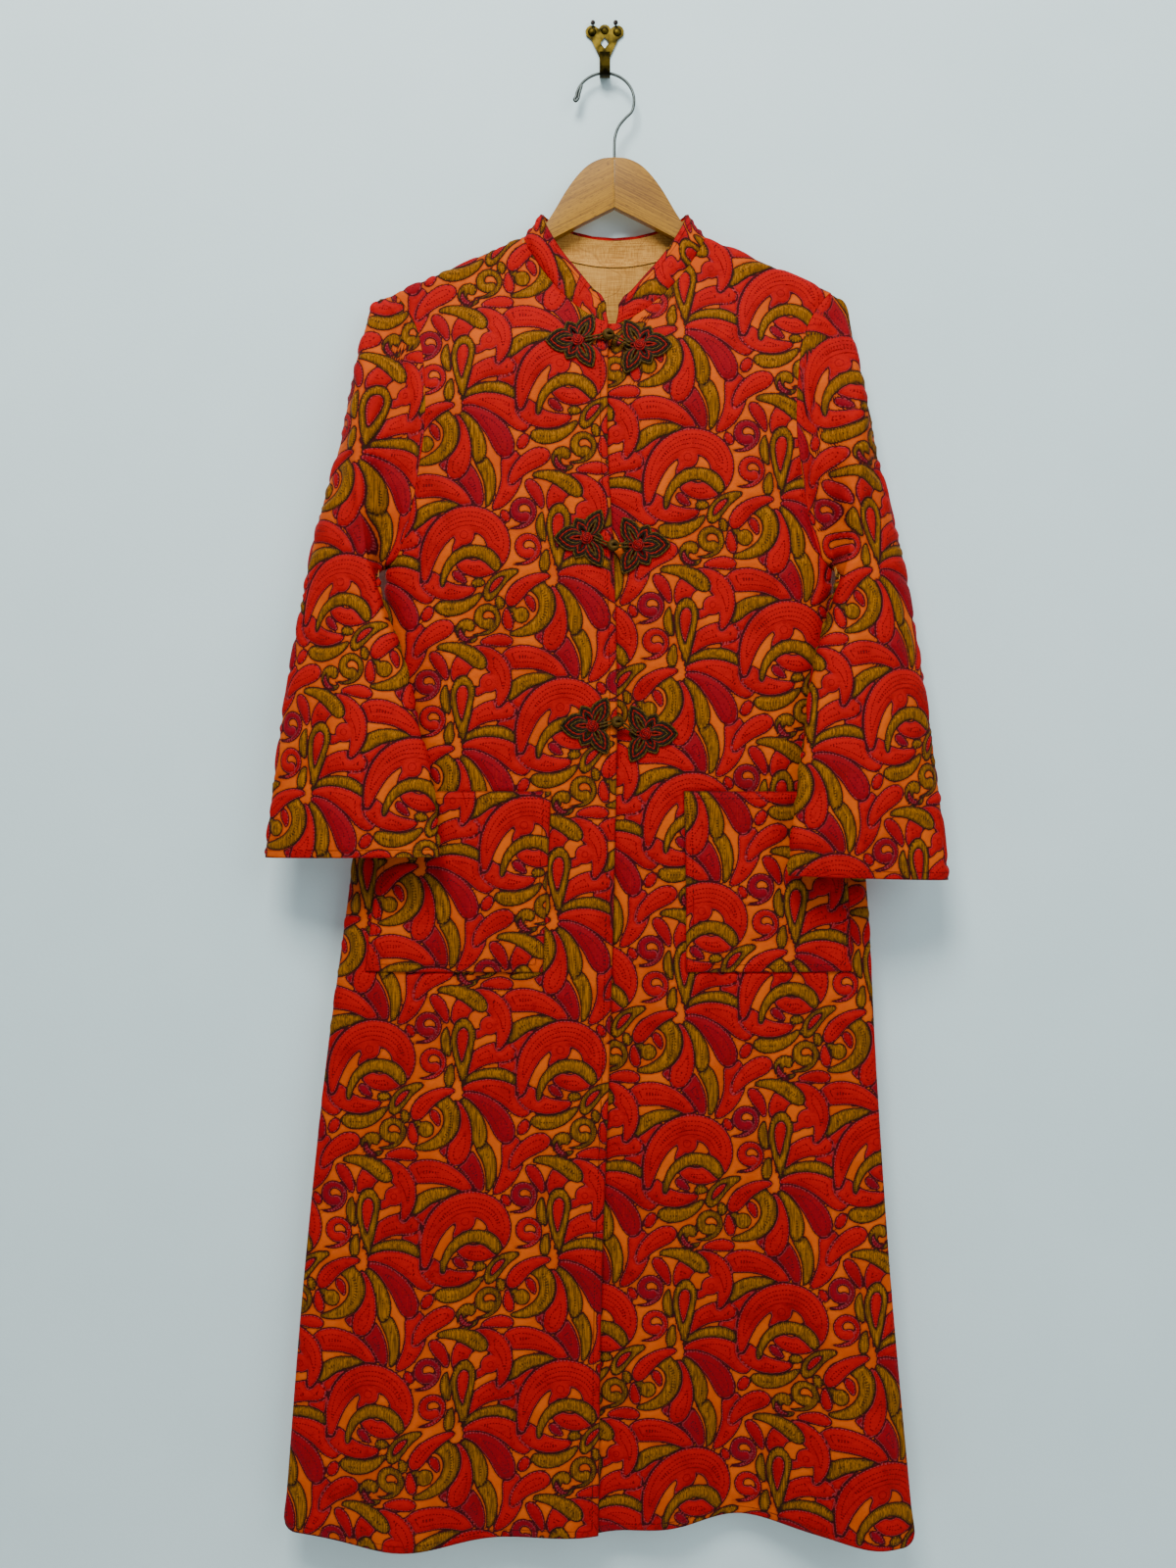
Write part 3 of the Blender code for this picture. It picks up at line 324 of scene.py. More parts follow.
class Print:
    """The repeat as two distance fields, with the tone, the place along each stroke and the cover."""

    def __init__(self):
        self.shape = (2 * REPEAT_DROP, REPEAT_WIDTH)
        self.olive_side = np.full(self.shape, EMPTY_DEPTH)
        self.red_side = np.full(self.shape, EMPTY_DEPTH)
        self.tone = np.zeros(self.shape)
        self.run = np.zeros(self.shape)
        self.cover = np.full(self.shape, -FAR_OUTSIDE)

    def draw(self, points, half, label, tone, halo=0.0):
        """Lays one stroke over the others, in both halves of the repeat."""
        low = np.floor((points - half[:, None]).min(axis=0) - FAR_OUTSIDE).astype(int)
        high = np.ceil((points + half[:, None]).max(axis=0) + FAR_OUTSIDE).astype(int)
        across = np.arange(low[0], min(high[0], low[0] + REPEAT_WIDTH - 1) + 1)
        up = np.arange(low[1], high[1] + 1)
        inside = np.full((len(up), len(across)), -np.inf)
        run = np.zeros(inside.shape)
        for (x, y), reach, length in zip(points, half, running_length(points)):
            found = reach - np.hypot(across[None] - x, up[:, None] - y)
            run = np.where(found > inside, length, run)
            inside = np.maximum(inside, found)
        for shift_x, shift_y in ((0, 0), (REPEAT_WIDTH // 2, REPEAT_DROP)):
            cells = np.ix_((up + shift_y) % self.shape[0], (across + shift_x) % self.shape[1])
            for field, bit in ((self.olive_side, 1), (self.red_side, 2)):
                value = field[cells]
                if halo:
                    value = np.minimum(value, -(inside + halo))
                field[cells] = np.maximum(value, inside) if label & bit else np.minimum(value, -inside)
            self.tone[cells] = np.where(inside > -TONE_SPREAD, tone, self.tone[cells])
            self.run[cells] = np.where(inside > -RUN_SPREAD, run, self.run[cells])
            self.cover[cells] = np.maximum(self.cover[cells], inside)

    def room(self, points):
        """Distance from points to the nearest stroke."""
        column = np.round(points[..., 0]).astype(int) % self.shape[1]
        row = np.round(points[..., 1]).astype(int) % self.shape[0]
        return -self.cover[row, column]


print("repeat", REPEAT_WIDTH, "by", REPEAT_DROP, "mm, half-drop")

# %% Large leaves of the repeat
SPINE_STEP = 1.5
SPINE_LEAST = 12
# Columns: kind, colour, tone, x, y, heading, length, half-width, turn, curl, halo, ball
LARGE_STROKES = (
    ("plume", SCARLET, 0.2, -60, 32, 182, 90, 15, 82, 1.2, 0.8, 0),
    ("plume", OLIVE, 0.5, -56, 42, 156, 74, 9.5, 84, 1.1, 0.8, 0),
    ("plume", SCARLET, 0.3, -48, 46, 130, 86, 16, 74, 1.2, 0.8, 0),
    ("plume", CRIMSON, 0.7, -37, 48, 100, 78, 15, 64, 1.2, 0.8, 0),
    ("plume", OLIVE, 0.5, -28, 48, 72, 66, 9.5, 66, 1.2, 0.8, 0),
    ("plume", SCARLET, 0.2, -19, 45, 44, 74, 15, 68, 1.2, 0.8, 0),
    ("plume", SCARLET, 0.25, 58, -26, 62, 78, 14, -80, 1.2, 0.8, 0),
    ("plume", OLIVE, 0.5, 60, -33, 38, 70, 9.5, -76, 1.1, 0.8, 0),
    ("plume", SCARLET, 0.15, 62, -38, 12, 88, 16, -74, 1.2, 0.8, 0),
    ("plume", CRIMSON, 0.7, 62, -45, -18, 82, 15, -64, 1.2, 0.8, 0),
    ("plume", OLIVE, 0.4, 60, -50, -44, 66, 9.5, -60, 1.2, 0.8, 0),
    ("plume", SCARLET, 0.2, 53, -54, -70, 76, 15, -50, 1.2, 0.8, 0),
    ("plume", SCARLET, 0.1, -44, -56, 200, 68, 14, -82, 1.2, 0.8, 0),
    ("plume", OLIVE, 0.5, -36, -62, 228, 60, 9.5, -72, 1.2, 0.8, 0),
    ("scroll", SCARLET, 0.3, -106, -44, 84, 262, 16, -410, 1.7, 1.6, 13),
    ("plume", OLIVE, 0.5, -84, -52, 84, 104, 8.5, -160, 1.3, 0.8, 0),
    ("scroll", OLIVE, 0.6, 2, -112, 6, 160, 9.5, 340, 1.5, 1.4, 10),
    ("plume", SCARLET, 0.4, 50, -40, 184, 62, 11, 62, 1.0, 0.8, 0),
    ("scroll", SCARLET, 0.35, 106, 14, 68, 170, 13, 360, 1.5, 1.4, 12),
    ("drop", OLIVE, 0.5, 62, -30, 96, 74, 17, -14, 1.0, 1.2, 0),
    ("drop", SCARLET, 0.2, 60, -6, 92, 42, 8.5, -10, 1.0, 0, 0),
    ("plume", OLIVE, 0.5, 30, 86, 8, 64, 10, -62, 1.0, 0.8, 0),
    ("plume", SCARLET, 0.3, 2, 76, 66, 58, 13, -54, 1.0, 0.8, 0),
)


def draw_large(design):
    """Draws the listed strokes, with a round end where a ball is given."""
    for kind, label, tone, x, y, heading, length, half, turn, curl, halo, ball in LARGE_STROKES:
        count = max(SPINE_LEAST, int(length / SPINE_STEP))
        points, share = spine(x, y, heading, length, turn, curl, count)
        design.draw(points, half_widths(kind, share, half), label, tone, halo)
        if ball:
            design.draw(points[-1:], np.array((float(ball),)), label, tone)


coat_print = Print()
draw_large(coat_print)
print("large strokes", len(LARGE_STROKES), "ground left", round(float((coat_print.cover < 0).mean()), 2))

# %% Small curls, leaves and buds in the gaps
# Columns: kind, length, half-width, turn, curl
SMALL_STROKES = (
    ("crook", 100, 6.5, 400, 1.6), ("crook", 78, 6.0, 340, 1.6), ("crook", 60, 5.5, 300, 1.6),
    ("comma", 48, 6.5, 300, 0.65), ("comma", 36, 5.5, 250, 0.7),
    ("lobe", 62, 10, 50, 1), ("lobe", 52, 9.5, 60, 1), ("lobe", 44, 9, 40, 1), ("lobe", 36, 8, 30, 1),
    ("lobe", 30, 7, 40, 1), ("lobe", 24, 6.5, 20, 1), ("leaf", 48, 6.5, 60, 1), ("leaf", 38, 5.5, 50, 1),
    ("lobe", 18, 5.5, 20, 1), ("bud", 15, 6.5, 0, 1), ("bud", 12, 5.0, 0, 1),
)
SMALL_LABELS = (OLIVE, CRIMSON, SCARLET, OLIVE, SCARLET)
SMALL_TONES = (0.5, 0.8, 0.2, 0.35, 0.6, 0.95, 0.1)
GAP_BETWEEN = 1.0
SMALLEST_GAP = 4.4
COARSE_COUNT = 24
FINE_COUNT = 70
CURL_FAVOUR = 1.35
HEADING_STEP = 15
NUDGES = ((0, 0), (3, 0), (-3, 0), (0, 3), (0, -3))
INSET_FROM = 7.0
INSET_SPAN = slice(22, 60)
INSET_WIDTH = 0.42


def small_choices():
    """Every small stroke in both hands and all turns: its worth, points and half-widths."""
    worth, points, half = [], [], []
    for kind, length, width, turn, curl in SMALL_STROKES:
        for hand in (1, -1):
            for heading in range(0, 360, HEADING_STEP):
                line, share = spine(0.0, 0.0, heading, length, turn * hand, curl, COARSE_COUNT)
                reach = half_widths(kind, share, width)
                favour = CURL_FAVOUR if kind in ("crook", "comma") else 1.0
                worth.append(favour * reach.sum() * 2 * length / COARSE_COUNT)
                points.append(line - line[np.argmax(reach)])
                half.append(reach)
    return np.array(worth), np.array(points), np.array(half)


def fill_gaps(design):
    """Puts the most worthy small stroke into the widest gap until no gap is wide enough."""
    worth, points, half = small_choices()
    spent = np.zeros(design.shape, bool)
    made = 0
    while True:
        free = np.where(spent, -FAR_OUTSIDE, -design.cover)
        row, column = np.unravel_index(np.argmax(free), free.shape)
        if free[row, column] < SMALLEST_GAP:
            return made
        best = (0.0, None, None)
        for nudge_x, nudge_y in NUDGES:
            centre = np.array((column + nudge_x, row + nudge_y), float)
            fits = (design.room(points + centre) - half).min(axis=1) >= GAP_BETWEEN
            pick = int(np.argmax(np.where(fits, worth, 0.0)))
            if fits[pick] and worth[pick] > best[0]:
                best = (worth[pick], pick, centre)
        if best[1] is None:
            twin_row = (row + REPEAT_DROP) % design.shape[0]
            twin_column = (column + REPEAT_WIDTH // 2) % design.shape[1]
            spent[row, column] = True
            spent[twin_row, twin_column] = True
            continue
        draw_small(design, points[best[1]] + best[2], half[best[1]], made)
        made += 1


def draw_small(design, line, reach, number):
    """Draws one small stroke, every second large one with a leaf of another colour inside."""
    label = SMALL_LABELS[number % len(SMALL_LABELS)]
    tone = SMALL_TONES[number % len(SMALL_TONES)]
    at = np.linspace(0, COARSE_COUNT - 1, FINE_COUNT)
    fine = np.column_stack([np.interp(at, np.arange(COARSE_COUNT), line[:, axis]) for axis in (0, 1)])
    reach = np.interp(at, np.arange(COARSE_COUNT), reach)
    design.draw(fine, reach, label, tone)
    if reach.max() > INSET_FROM and number % 2:
        inset = fine[INSET_SPAN]
        leaf = INSET_WIDTH * reach.max() * np.sin(np.linspace(0.0, np.pi, len(inset))) ** 0.8 + 0.3
        design.draw(inset, leaf, CRIMSON if label == OLIVE else OLIVE, tone)


filled = fill_gaps(coat_print)
print("small strokes", filled, "ground left", round(float((coat_print.cover < 0).mean()), 2))


# %% Read the print at cloth coordinates
def read_field(field, across, up):
    """A field of the repeat at cloth coordinates in millimetres, blended between its cells."""
    rows, columns = field.shape
    low_x = np.floor(across).astype(int)
    low_y = np.floor(up).astype(int)
    part_x = across - low_x
    part_y = up - low_y
    found = 0.0
    for step_y, share_y in ((0, 1.0 - part_y), (1, part_y)):
        for step_x, share_x in ((0, 1.0 - part_x), (1, part_x)):
            found = found + share_x * share_y * field[(low_y + step_y) % rows, (low_x + step_x) % columns]
    return found


def read_print(across, up):
    """The two fields of the print, its tone and the place along its strokes, at cloth coordinates."""
    across = across / PRINT_SCALE
    up = up / PRINT_SCALE
    return {"olive_side": read_field(coat_print.olive_side, across, up) * PRINT_SCALE,
            "red_side": read_field(coat_print.red_side, across, up) * PRINT_SCALE,
            "tone": read_field(coat_print.tone, across, up),
            "run": read_field(coat_print.run, across, up) * PRINT_SCALE}


PUFF_HEIGHT = 2.4
GROUND_HEIGHT = 1.0
PUFF_REACH = 3.0


def puff(fields):
    """Height of the quilting: 0 in the stitched valleys along every edge of the print."""
    edge = np.minimum(np.abs(fields["olive_side"]), np.abs(fields["red_side"]))
    ground = np.maximum(fields["olive_side"], fields["red_side"]) < 0
    return np.where(ground, GROUND_HEIGHT, PUFF_HEIGHT) * (1.0 - np.exp(-(edge / PUFF_REACH) ** 1.3))


SAMPLE_STEP = 4.0
sample_marks = [np.arange(0.0, end, SAMPLE_STEP) for end in (REPEAT_WIDTH, 2 * REPEAT_DROP)]
sample = read_print(*np.meshgrid(*sample_marks))
print("mean height of the quilting", round(float(puff(sample).mean()), 2), "mm")

# %% [markdown]
# ## The coat's sections
#
# The solids of the coat were lofted from a short table of sections, one row for each height. The dressed
# pieces have to lie on the same form, so the same table is used here, read on a much finer grid. Sizes are
# in millimetres, with drops counted down from the wall hook.

# %% Tables of the coat
BODY_COLUMNS = ("drop", "centre", "half_width", "lap_edge", "front", "back", "left_seam", "right_seam")
BODY_SECTIONS = np.array((
    (200, 9, 232, 4, -54, -10, -26, -26),
    (298, 7, 232, 4, -62, -9, -28, -28),
    (430, 7, 232, 3, -64, -8, -30, -30),
    (550, 4, 232, 9, -64, -8, -30, -30),
    (700, 4, 250, 12, -62, -8, -30, -31),
    (877, 3, 270, 9, -58, -8, -30, -33),
    (1076, -5, 288, 4, -54, -8, -32, -38),
    (1276, -9, 304, -3, -50, -8, -36, -46),
    (1557, -8, 326, -7, -50, -8, -42, -60),
), float)
UNDERARM_DROP = 550.0
POCKET_TOP = 782.0
POCKET_BOTTOM = 968.0
HEM_DROP = 1557.0
SIDE_ROUNDNESS = 6.0
CLOTH_THICK = 3.0
SEAM_GAP = 0.3
# Folds of the skirt. Columns: place across at the hem, push, half-width, drop where the fold starts
FRONT_FOLDS = ((-207, -26, 62, 1000), (-119, 12, 60, 1050), (22, 13, 34, 1300), (134, 26, 66, 1120),
               (283, -32, 46, 1150))
BACK_FOLDS = ((-232, -12, 52, 1000), (-62, -9, 60, 1100), (52, -8, 50, 1050))
# Columns: place across, lift of the hem
HEM_LIFT = np.array((
    (-340, 8), (-240, 0), (-60, 0), (10, 2), (80, 7), (140, 16), (215, 6), (340, 0),
), float)
HEM_LIFT_START = 1150.0
# Round corners of the hem at the side seams, and how far above them the rows give way
HEM_CORNER = 13.0
HEM_CORNER_REACH = 45.0
SHOULDER_DROP = 200.0
SHOULDER_SLOPE = 0.44
NECK_HALF = 96.0
NECK_CENTRE = 10.0
SHOULDER_SEAM_Y = -22.0
SHOULDER_ROLL = 12.0
FRONT_FILL = 150.0
BACK_FILL = 100.0
FRONT_NECK_DROP = 98.0
BACK_NECK_DROP = 28.0
NECK_CROWDING = 2.1
RIGHT_NECK_START = 3.0
LEFT_NECK_START = 11.0
# Armhole. Columns: half-width from the body's centre, drop
ARMHOLE = np.array(((230, 259), (216, 275), (203, 300), (194, 340), (191, 400), (197, 450), (206, 500),
                    (218, 537), (232, 550)), float)
ARMHOLE_CENTRE = 7.0
LAP_WIDTH = 29.0
LAP_RECESS = 6.0
LAP_BLEND = 45.0
print("coat from drop", SHOULDER_DROP, "to", HEM_DROP, "mm")


# %% Curves through the tables
def smooth_value(keys, values, query):
    """A smooth curve through a short table, read at the query."""
    keys = np.asarray(keys, float)
    values = np.asarray(values, float)
    query = np.asarray(query, float)
    slopes = np.gradient(values, keys, axis=0)
    place = np.clip(np.searchsorted(keys, query, side="right") - 1, 0, len(keys) - 2)
    span = keys[place + 1] - keys[place]
    part = np.clip((query - keys[place]) / span, 0.0, 1.0)
    grow = (...,) + (None,) * (values.ndim - 1)
    span = span[grow]
    part = part[grow]
    start = (1 + 2 * part) * (1 - part) ** 2 * values[place]
    end = part ** 2 * (3 - 2 * part) * values[place + 1]
    leave = part * (1 - part) ** 2 * span * slopes[place]
    arrive = part ** 2 * (part - 1) * span * slopes[place + 1]
    return start + end + leave + arrive


def ease(value):
    """A soft step from 0 to 1."""
    value = np.clip(value, 0.0, 1.0)
    return value * value * (3.0 - 2.0 * value)


def unit(vectors):
    """Vectors scaled to length one."""
    return vectors / np.maximum(np.linalg.norm(vectors, axis=-1, keepdims=True), 1e-9)


def body(column, height):
    """One column of the body table at a height."""
    return smooth_value(BODY_SECTIONS[:, 0], BODY_SECTIONS[:, BODY_COLUMNS.index(column)],
                        -np.asarray(height, float))


def shoulder_height(across):
    """Height of the shoulder line, level across the neck."""
    past_neck = np.maximum(np.abs(across - NECK_CENTRE) - NECK_HALF, 0.0)
    return -SHOULDER_DROP - SHOULDER_SLOPE * past_neck


def fold_push(folds, across, height):
    """How far the soft folds of the skirt push a point in or out."""
    push = np.zeros_like(across)
    for place, amount, half_width, start_drop in folds:
        spread = (-height / HEM_DROP) ** 0.5
        depth = ease((-height - start_drop) / (HEM_DROP - start_drop))
        push = push + amount * depth * np.exp(-((across - place * spread) / half_width) ** 2)
    return push


def side_round(across, height):
    """1 in the middle of a panel, falling to 0 at the side seam."""
    half = body("half_width", np.minimum(height, -UNDERARM_DROP))
    part = np.clip(np.abs(across - body("centre", height)) / half, 0.0, 1.0)
    return np.sqrt(1.0 - part ** SIDE_ROUNDNESS)


def panel_depth(across, height, facing):
    """Y of a panel: facing is -1 on the front and 1 on the back."""
    seam = np.where(across < body("centre", height), body("left_seam", height), body("right_seam", height))
    if facing < 0:
        flat = body("front", height) + fold_push(FRONT_FOLDS, across, height)
    else:
        flat = body("back", height) + fold_push(BACK_FOLDS, across, height)
    hanging = seam + (flat - seam) * side_round(across, height)
    below = np.maximum(shoulder_height(across) - height, 0.0)
    roll = np.sqrt(1.0 - (1.0 - np.minimum(below / SHOULDER_ROLL, 1.0)) ** 2)
    rolled = SHOULDER_SEAM_Y + facing * SHOULDER_ROLL
    fill = FRONT_FILL if facing < 0 else BACK_FILL
    depth = SHOULDER_SEAM_Y + facing * SHOULDER_ROLL * roll + (hanging - rolled) * ease(below / fill)
    return depth + facing * SEAM_GAP / 2


def lap_recess(across, height):
    """How far the left front steps back under the lap."""
    return LAP_RECESS * (1.0 - ease((across - body("lap_edge", height)) / LAP_BLEND))


def front_depth(side_sign, across, height):
    """Y of a front's stitched valleys: side_sign is -1 on the viewer's left."""
    depth = panel_depth(across, height, -1)
    return depth + lap_recess(across, height) if side_sign > 0 else depth


print("chest at y", round(float(front_depth(-1, np.array(-100.0), np.array(-430.0))), 1), "mm")

# %% [markdown]
# ## Panels
#
# A front is cut with a neckline, a shoulder, an armhole, a side seam and a hem. Above the underarm its
# points fill a patch with four edges; below it they lie on level rows. A grid this fine could also come
# from subdividing the coarse solid, but then the quilting of the solid would be in it as well, and the
# print would have no coordinates of its own.

# %% Rows and columns of the panels
RIGHT_COLUMNS = np.array((0, 4, 10, 17, 25, 33, 41, 49, 57, 65, 73, 81, 89, 95, 100)) / 100.0
RIGHT_NECK_COLUMN = 6
RIGHT_POCKET = (4, 12)
LEFT_COLUMNS = np.array((0, 5, 10, 15, 22, 29, 35, 42, 49, 56, 63, 70, 78, 85, 92, 96, 100)) / 100.0
LEFT_START_COLUMN = 3
LEFT_NECK_COLUMN = 8
LEFT_POCKET = (6, 14)
BACK_SHOULDER_COLUMNS = 7
BACK_NECK_COLUMNS = 10
YOKE_MARKS = np.array((0, 12, 30, 55, 140, 245, 350, 455, 560, 665, 775, 885, 1000)) / 1000.0
FRONT_FINENESS = 9
BACK_FINENESS = 6
YOKE_STEP = 0.0072
ROW_STEP = 2.4


def refine(marks, step):
    """The marks with steps between them no longer than step."""
    parts = [np.linspace(start, end, max(1, math.ceil((end - start) / step)) + 1)[:-1]
             for start, end in zip(marks[:-1], marks[1:])]
    return np.concatenate(parts + [np.array(marks[-1:], float)])


def spread(columns, times):
    """The column marks with each span cut into equal parts."""
    count = len(columns) - 1
    return np.interp(np.arange(count * times + 1) / times, np.arange(count + 1), columns)


YOKE_ROWS = refine(YOKE_MARKS, YOKE_STEP)
SKIRT_HEIGHTS = -refine((UNDERARM_DROP, POCKET_TOP, POCKET_BOTTOM, HEM_DROP), ROW_STEP)[1:]
print("rows", len(YOKE_ROWS), "+", len(SKIRT_HEIGHTS))

# %% Edges of the panels
NECK_FLATNESS = 1.5
NECK_STEEPNESS = 1.2
ARMHOLE_POINTS = 400


def front_neckline(start, side, steps):
    """Front neckline from the centre front to the side of the neck, as x and z."""
    part = 1.0 - (1.0 - np.linspace(0.0, 1.0, steps + 1)) ** NECK_CROWDING
    drop = FRONT_NECK_DROP * (1.0 - part ** NECK_FLATNESS) ** (1 / NECK_STEEPNESS)
    return np.column_stack((start + (side - start) * part, -SHOULDER_DROP - drop))


def shoulder_seam(side_sign, steps):
    """Shoulder seam from the neck to the armhole, without its first point."""
    part = np.linspace(0.0, 1.0, steps + 1)[1:]
    neck = NECK_CENTRE + side_sign * NECK_HALF
    tip = ARMHOLE_CENTRE + side_sign * ARMHOLE[0, 0]
    across = neck + (tip - neck) * part
    return np.column_stack((across, shoulder_height(across)))


def armhole_edge(side_sign):
    """Armhole from the shoulder to the underarm, one point for each yoke row."""
    marks = np.linspace(0, len(ARMHOLE) - 1, ARMHOLE_POINTS)
    fine = smooth_value(np.arange(len(ARMHOLE)), ARMHOLE, marks)
    down = (fine[:, 1] - ARMHOLE[0, 1]) / (UNDERARM_DROP - ARMHOLE[0, 1])
    centre = ARMHOLE_CENTRE + (body("centre", -UNDERARM_DROP) - ARMHOLE_CENTRE) * ease(down)
    points = np.column_stack((centre + side_sign * fine[:, 0], -fine[:, 1]))
    points[0, 1] = shoulder_height(points[0, 0])
    length = running_length(points)
    return np.column_stack([np.interp(YOKE_ROWS * length[-1], length, points[:, axis]) for axis in (0, 1)])


print("armhole", round(float(running_length(armhole_edge(-1))[-1])), "mm from shoulder to underarm")

# %% Points of the panels


def fill_patch(top, bottom, near, far, across_parts):
    """Patch between four edges, rows by columns, as x and z."""
    across_part = across_parts[None, :, None]
    down_part = YOKE_ROWS[:, None, None]
    between = (1 - down_part) * top[None] + down_part * bottom[None]
    beside = (1 - across_part) * near[:, None] + across_part * far[:, None]
    corners = ((1 - across_part) * (1 - down_part) * top[0] + across_part * (1 - down_part) * top[-1]
               + (1 - across_part) * down_part * bottom[0] + across_part * down_part * bottom[-1])
    return between + beside - corners


def corner_lift(across, height):
    """Rounds the hem's corners at the side seams."""
    from_seam = body("half_width", height) - np.abs(across - body("centre", height))
    inside = np.clip(1.0 - from_seam / HEM_CORNER, 0.0, 1.0)
    near_hem = ease(1.0 - (HEM_DROP + height) / HEM_CORNER_REACH)
    return HEM_CORNER * (1.0 - np.sqrt(1.0 - inside ** 2)) * near_hem


def lift_hem(across, height):
    """The hem rises a little where the folds take cloth up."""
    share = ease((-height - HEM_LIFT_START) / (HEM_DROP - HEM_LIFT_START))
    lift = share * smooth_value(HEM_LIFT[:, 0], HEM_LIFT[:, 1], across)
    return height + lift + corner_lift(across, height)


def level_rows(heights, columns, near_x, far_x):
    """Rows of points at level heights, as x and z."""
    near = near_x(heights)[:, None]
    far = far_x(heights)[:, None]
    across = near + (far - near) * columns[None]
    return np.stack((across, np.broadcast_to(heights[:, None], across.shape)), axis=-1)


def panel_points(top, near_edge, far_edge, columns, near_x, far_x, facing):
    """All points of a panel: the yoke patch, then level rows down to the hem."""
    bottom = level_rows(np.array((-UNDERARM_DROP,)), columns, near_x, far_x)[0]
    yoke = fill_patch(top, bottom, near_edge, far_edge, columns)
    rows = np.concatenate((yoke, level_rows(SKIRT_HEIGHTS, columns, near_x, far_x)))
    across = rows[..., 0]
    depth = panel_depth(across, rows[..., 1], facing)
    return np.stack((across, depth, lift_hem(across, rows[..., 1])), axis=-1)


def side_edge(side_sign):
    """X of the side seam as a function of height."""
    return lambda height: body("centre", height) + side_sign * body("half_width", height)


def front_edge(side_sign):
    """X of a front's centre edge: the lap on the right front, the underlap on the left."""
    return lambda height: body("lap_edge", height) - (LAP_WIDTH if side_sign > 0 else 0.0)


def front_points(side_sign):
    """Fine grid of a front: side_sign is -1 for the right front, on the viewer's left."""
    start_height = -SHOULDER_DROP - FRONT_NECK_DROP
    near_x = front_edge(side_sign)
    if side_sign < 0:
        columns = spread(RIGHT_COLUMNS, FRONT_FINENESS)
        top = front_neckline(RIGHT_NECK_START, NECK_CENTRE - NECK_HALF, RIGHT_NECK_COLUMN * FRONT_FINENESS)
    else:
        columns = spread(LEFT_COLUMNS, FRONT_FINENESS)
        steps = (LEFT_NECK_COLUMN - LEFT_START_COLUMN) * FRONT_FINENESS
        neck = front_neckline(LEFT_NECK_START, NECK_CENTRE + NECK_HALF, steps)
        under = float(near_x(start_height))
        level = np.linspace(under, LEFT_NECK_START, LEFT_START_COLUMN * FRONT_FINENESS + 1)[:-1]
        top = np.concatenate((np.column_stack((level, np.full(len(level), start_height))), neck))
    top = np.concatenate((top, shoulder_seam(side_sign, len(columns) - len(top))))
    edge_heights = start_height + (-UNDERARM_DROP - start_height) * YOKE_ROWS
    start_shift = (top[0, 0] - near_x(start_height)) * (1.0 - YOKE_ROWS)
    near_edge = np.column_stack((near_x(edge_heights) + start_shift, edge_heights))
    far_edge = armhole_edge(side_sign)
    points = panel_points(top, near_edge, far_edge, columns, near_x, side_edge(side_sign), -1)
    if side_sign > 0:
        points[..., 1] += lap_recess(points[..., 0], points[..., 2])
    return points


def back_points():
    """Fine grid of the back, from the viewer's left to the right."""
    neck_part = np.linspace(-1.0, 1.0, BACK_NECK_COLUMNS * BACK_FINENESS + 1)
    neck_part = np.sign(neck_part) * (1.0 - (1.0 - np.abs(neck_part)) ** NECK_CROWDING)
    neck = np.column_stack((NECK_CENTRE + NECK_HALF * neck_part,
                            -SHOULDER_DROP - BACK_NECK_DROP * (1.0 - neck_part ** 2)))
    left = shoulder_seam(-1, BACK_SHOULDER_COLUMNS * BACK_FINENESS)[::-1]
    right = shoulder_seam(1, BACK_SHOULDER_COLUMNS * BACK_FINENESS)
    top = np.concatenate((left, neck, right))
    columns = np.linspace(0.0, 1.0, len(top))
    return panel_points(top, armhole_edge(-1), armhole_edge(1), columns, side_edge(-1), side_edge(1), 1)


def grid_normals(points, towards, closed=False):
    """Unit normals of a grid of rows by columns, turned to agree with the vectors in towards."""
    if closed:
        wrapped = np.concatenate((points[:, -1:], points, points[:, :1]), axis=1)
        along = wrapped[:, 2:] - wrapped[:, :-2]
    else:
        along = np.gradient(points, axis=1)
    normals = unit(np.cross(along, np.gradient(points, axis=0)))
    return normals if np.sum(normals * towards) > 0 else -normals


print("back", back_points().shape[:2], "points")

# %% Walls from two grids
INNER_STRIDE = 4
SHARP_CLOTH = 55.0


def dress(piece, node=None):
    """Puts a piece on the coat's one body and hides the solid that it stands for, if any."""
    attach(piece, "root")
    if node:
        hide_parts(node)


def kept_marks(count, stride):
    """Every stride-th mark of a count, and the last."""
    marks = list(range(0, count - 1, stride))
    return marks + [count - 1]


def grid_quads(ids, closed):
    """Quads of a grid of point numbers."""
    right = np.roll(ids, -1, axis=1) if closed else ids[:, 1:]
    left = ids if closed else ids[:, :-1]
    return np.stack((left[:-1], right[:-1], right[1:], left[1:]), axis=-1).reshape(-1, 4)


def rim_faces(outer, inner, marks, flip):
    """Faces between a fine edge and a coarse edge that keeps only the marked points."""
    faces = []
    for index in range(len(marks) - 1):
        chain = [int(point) for point in outer[marks[index]:marks[index + 1] + 1]]
        face = chain + [int(inner[index + 1]), int(inner[index])]
        faces.append(face[::-1] if flip else face)
    return faces


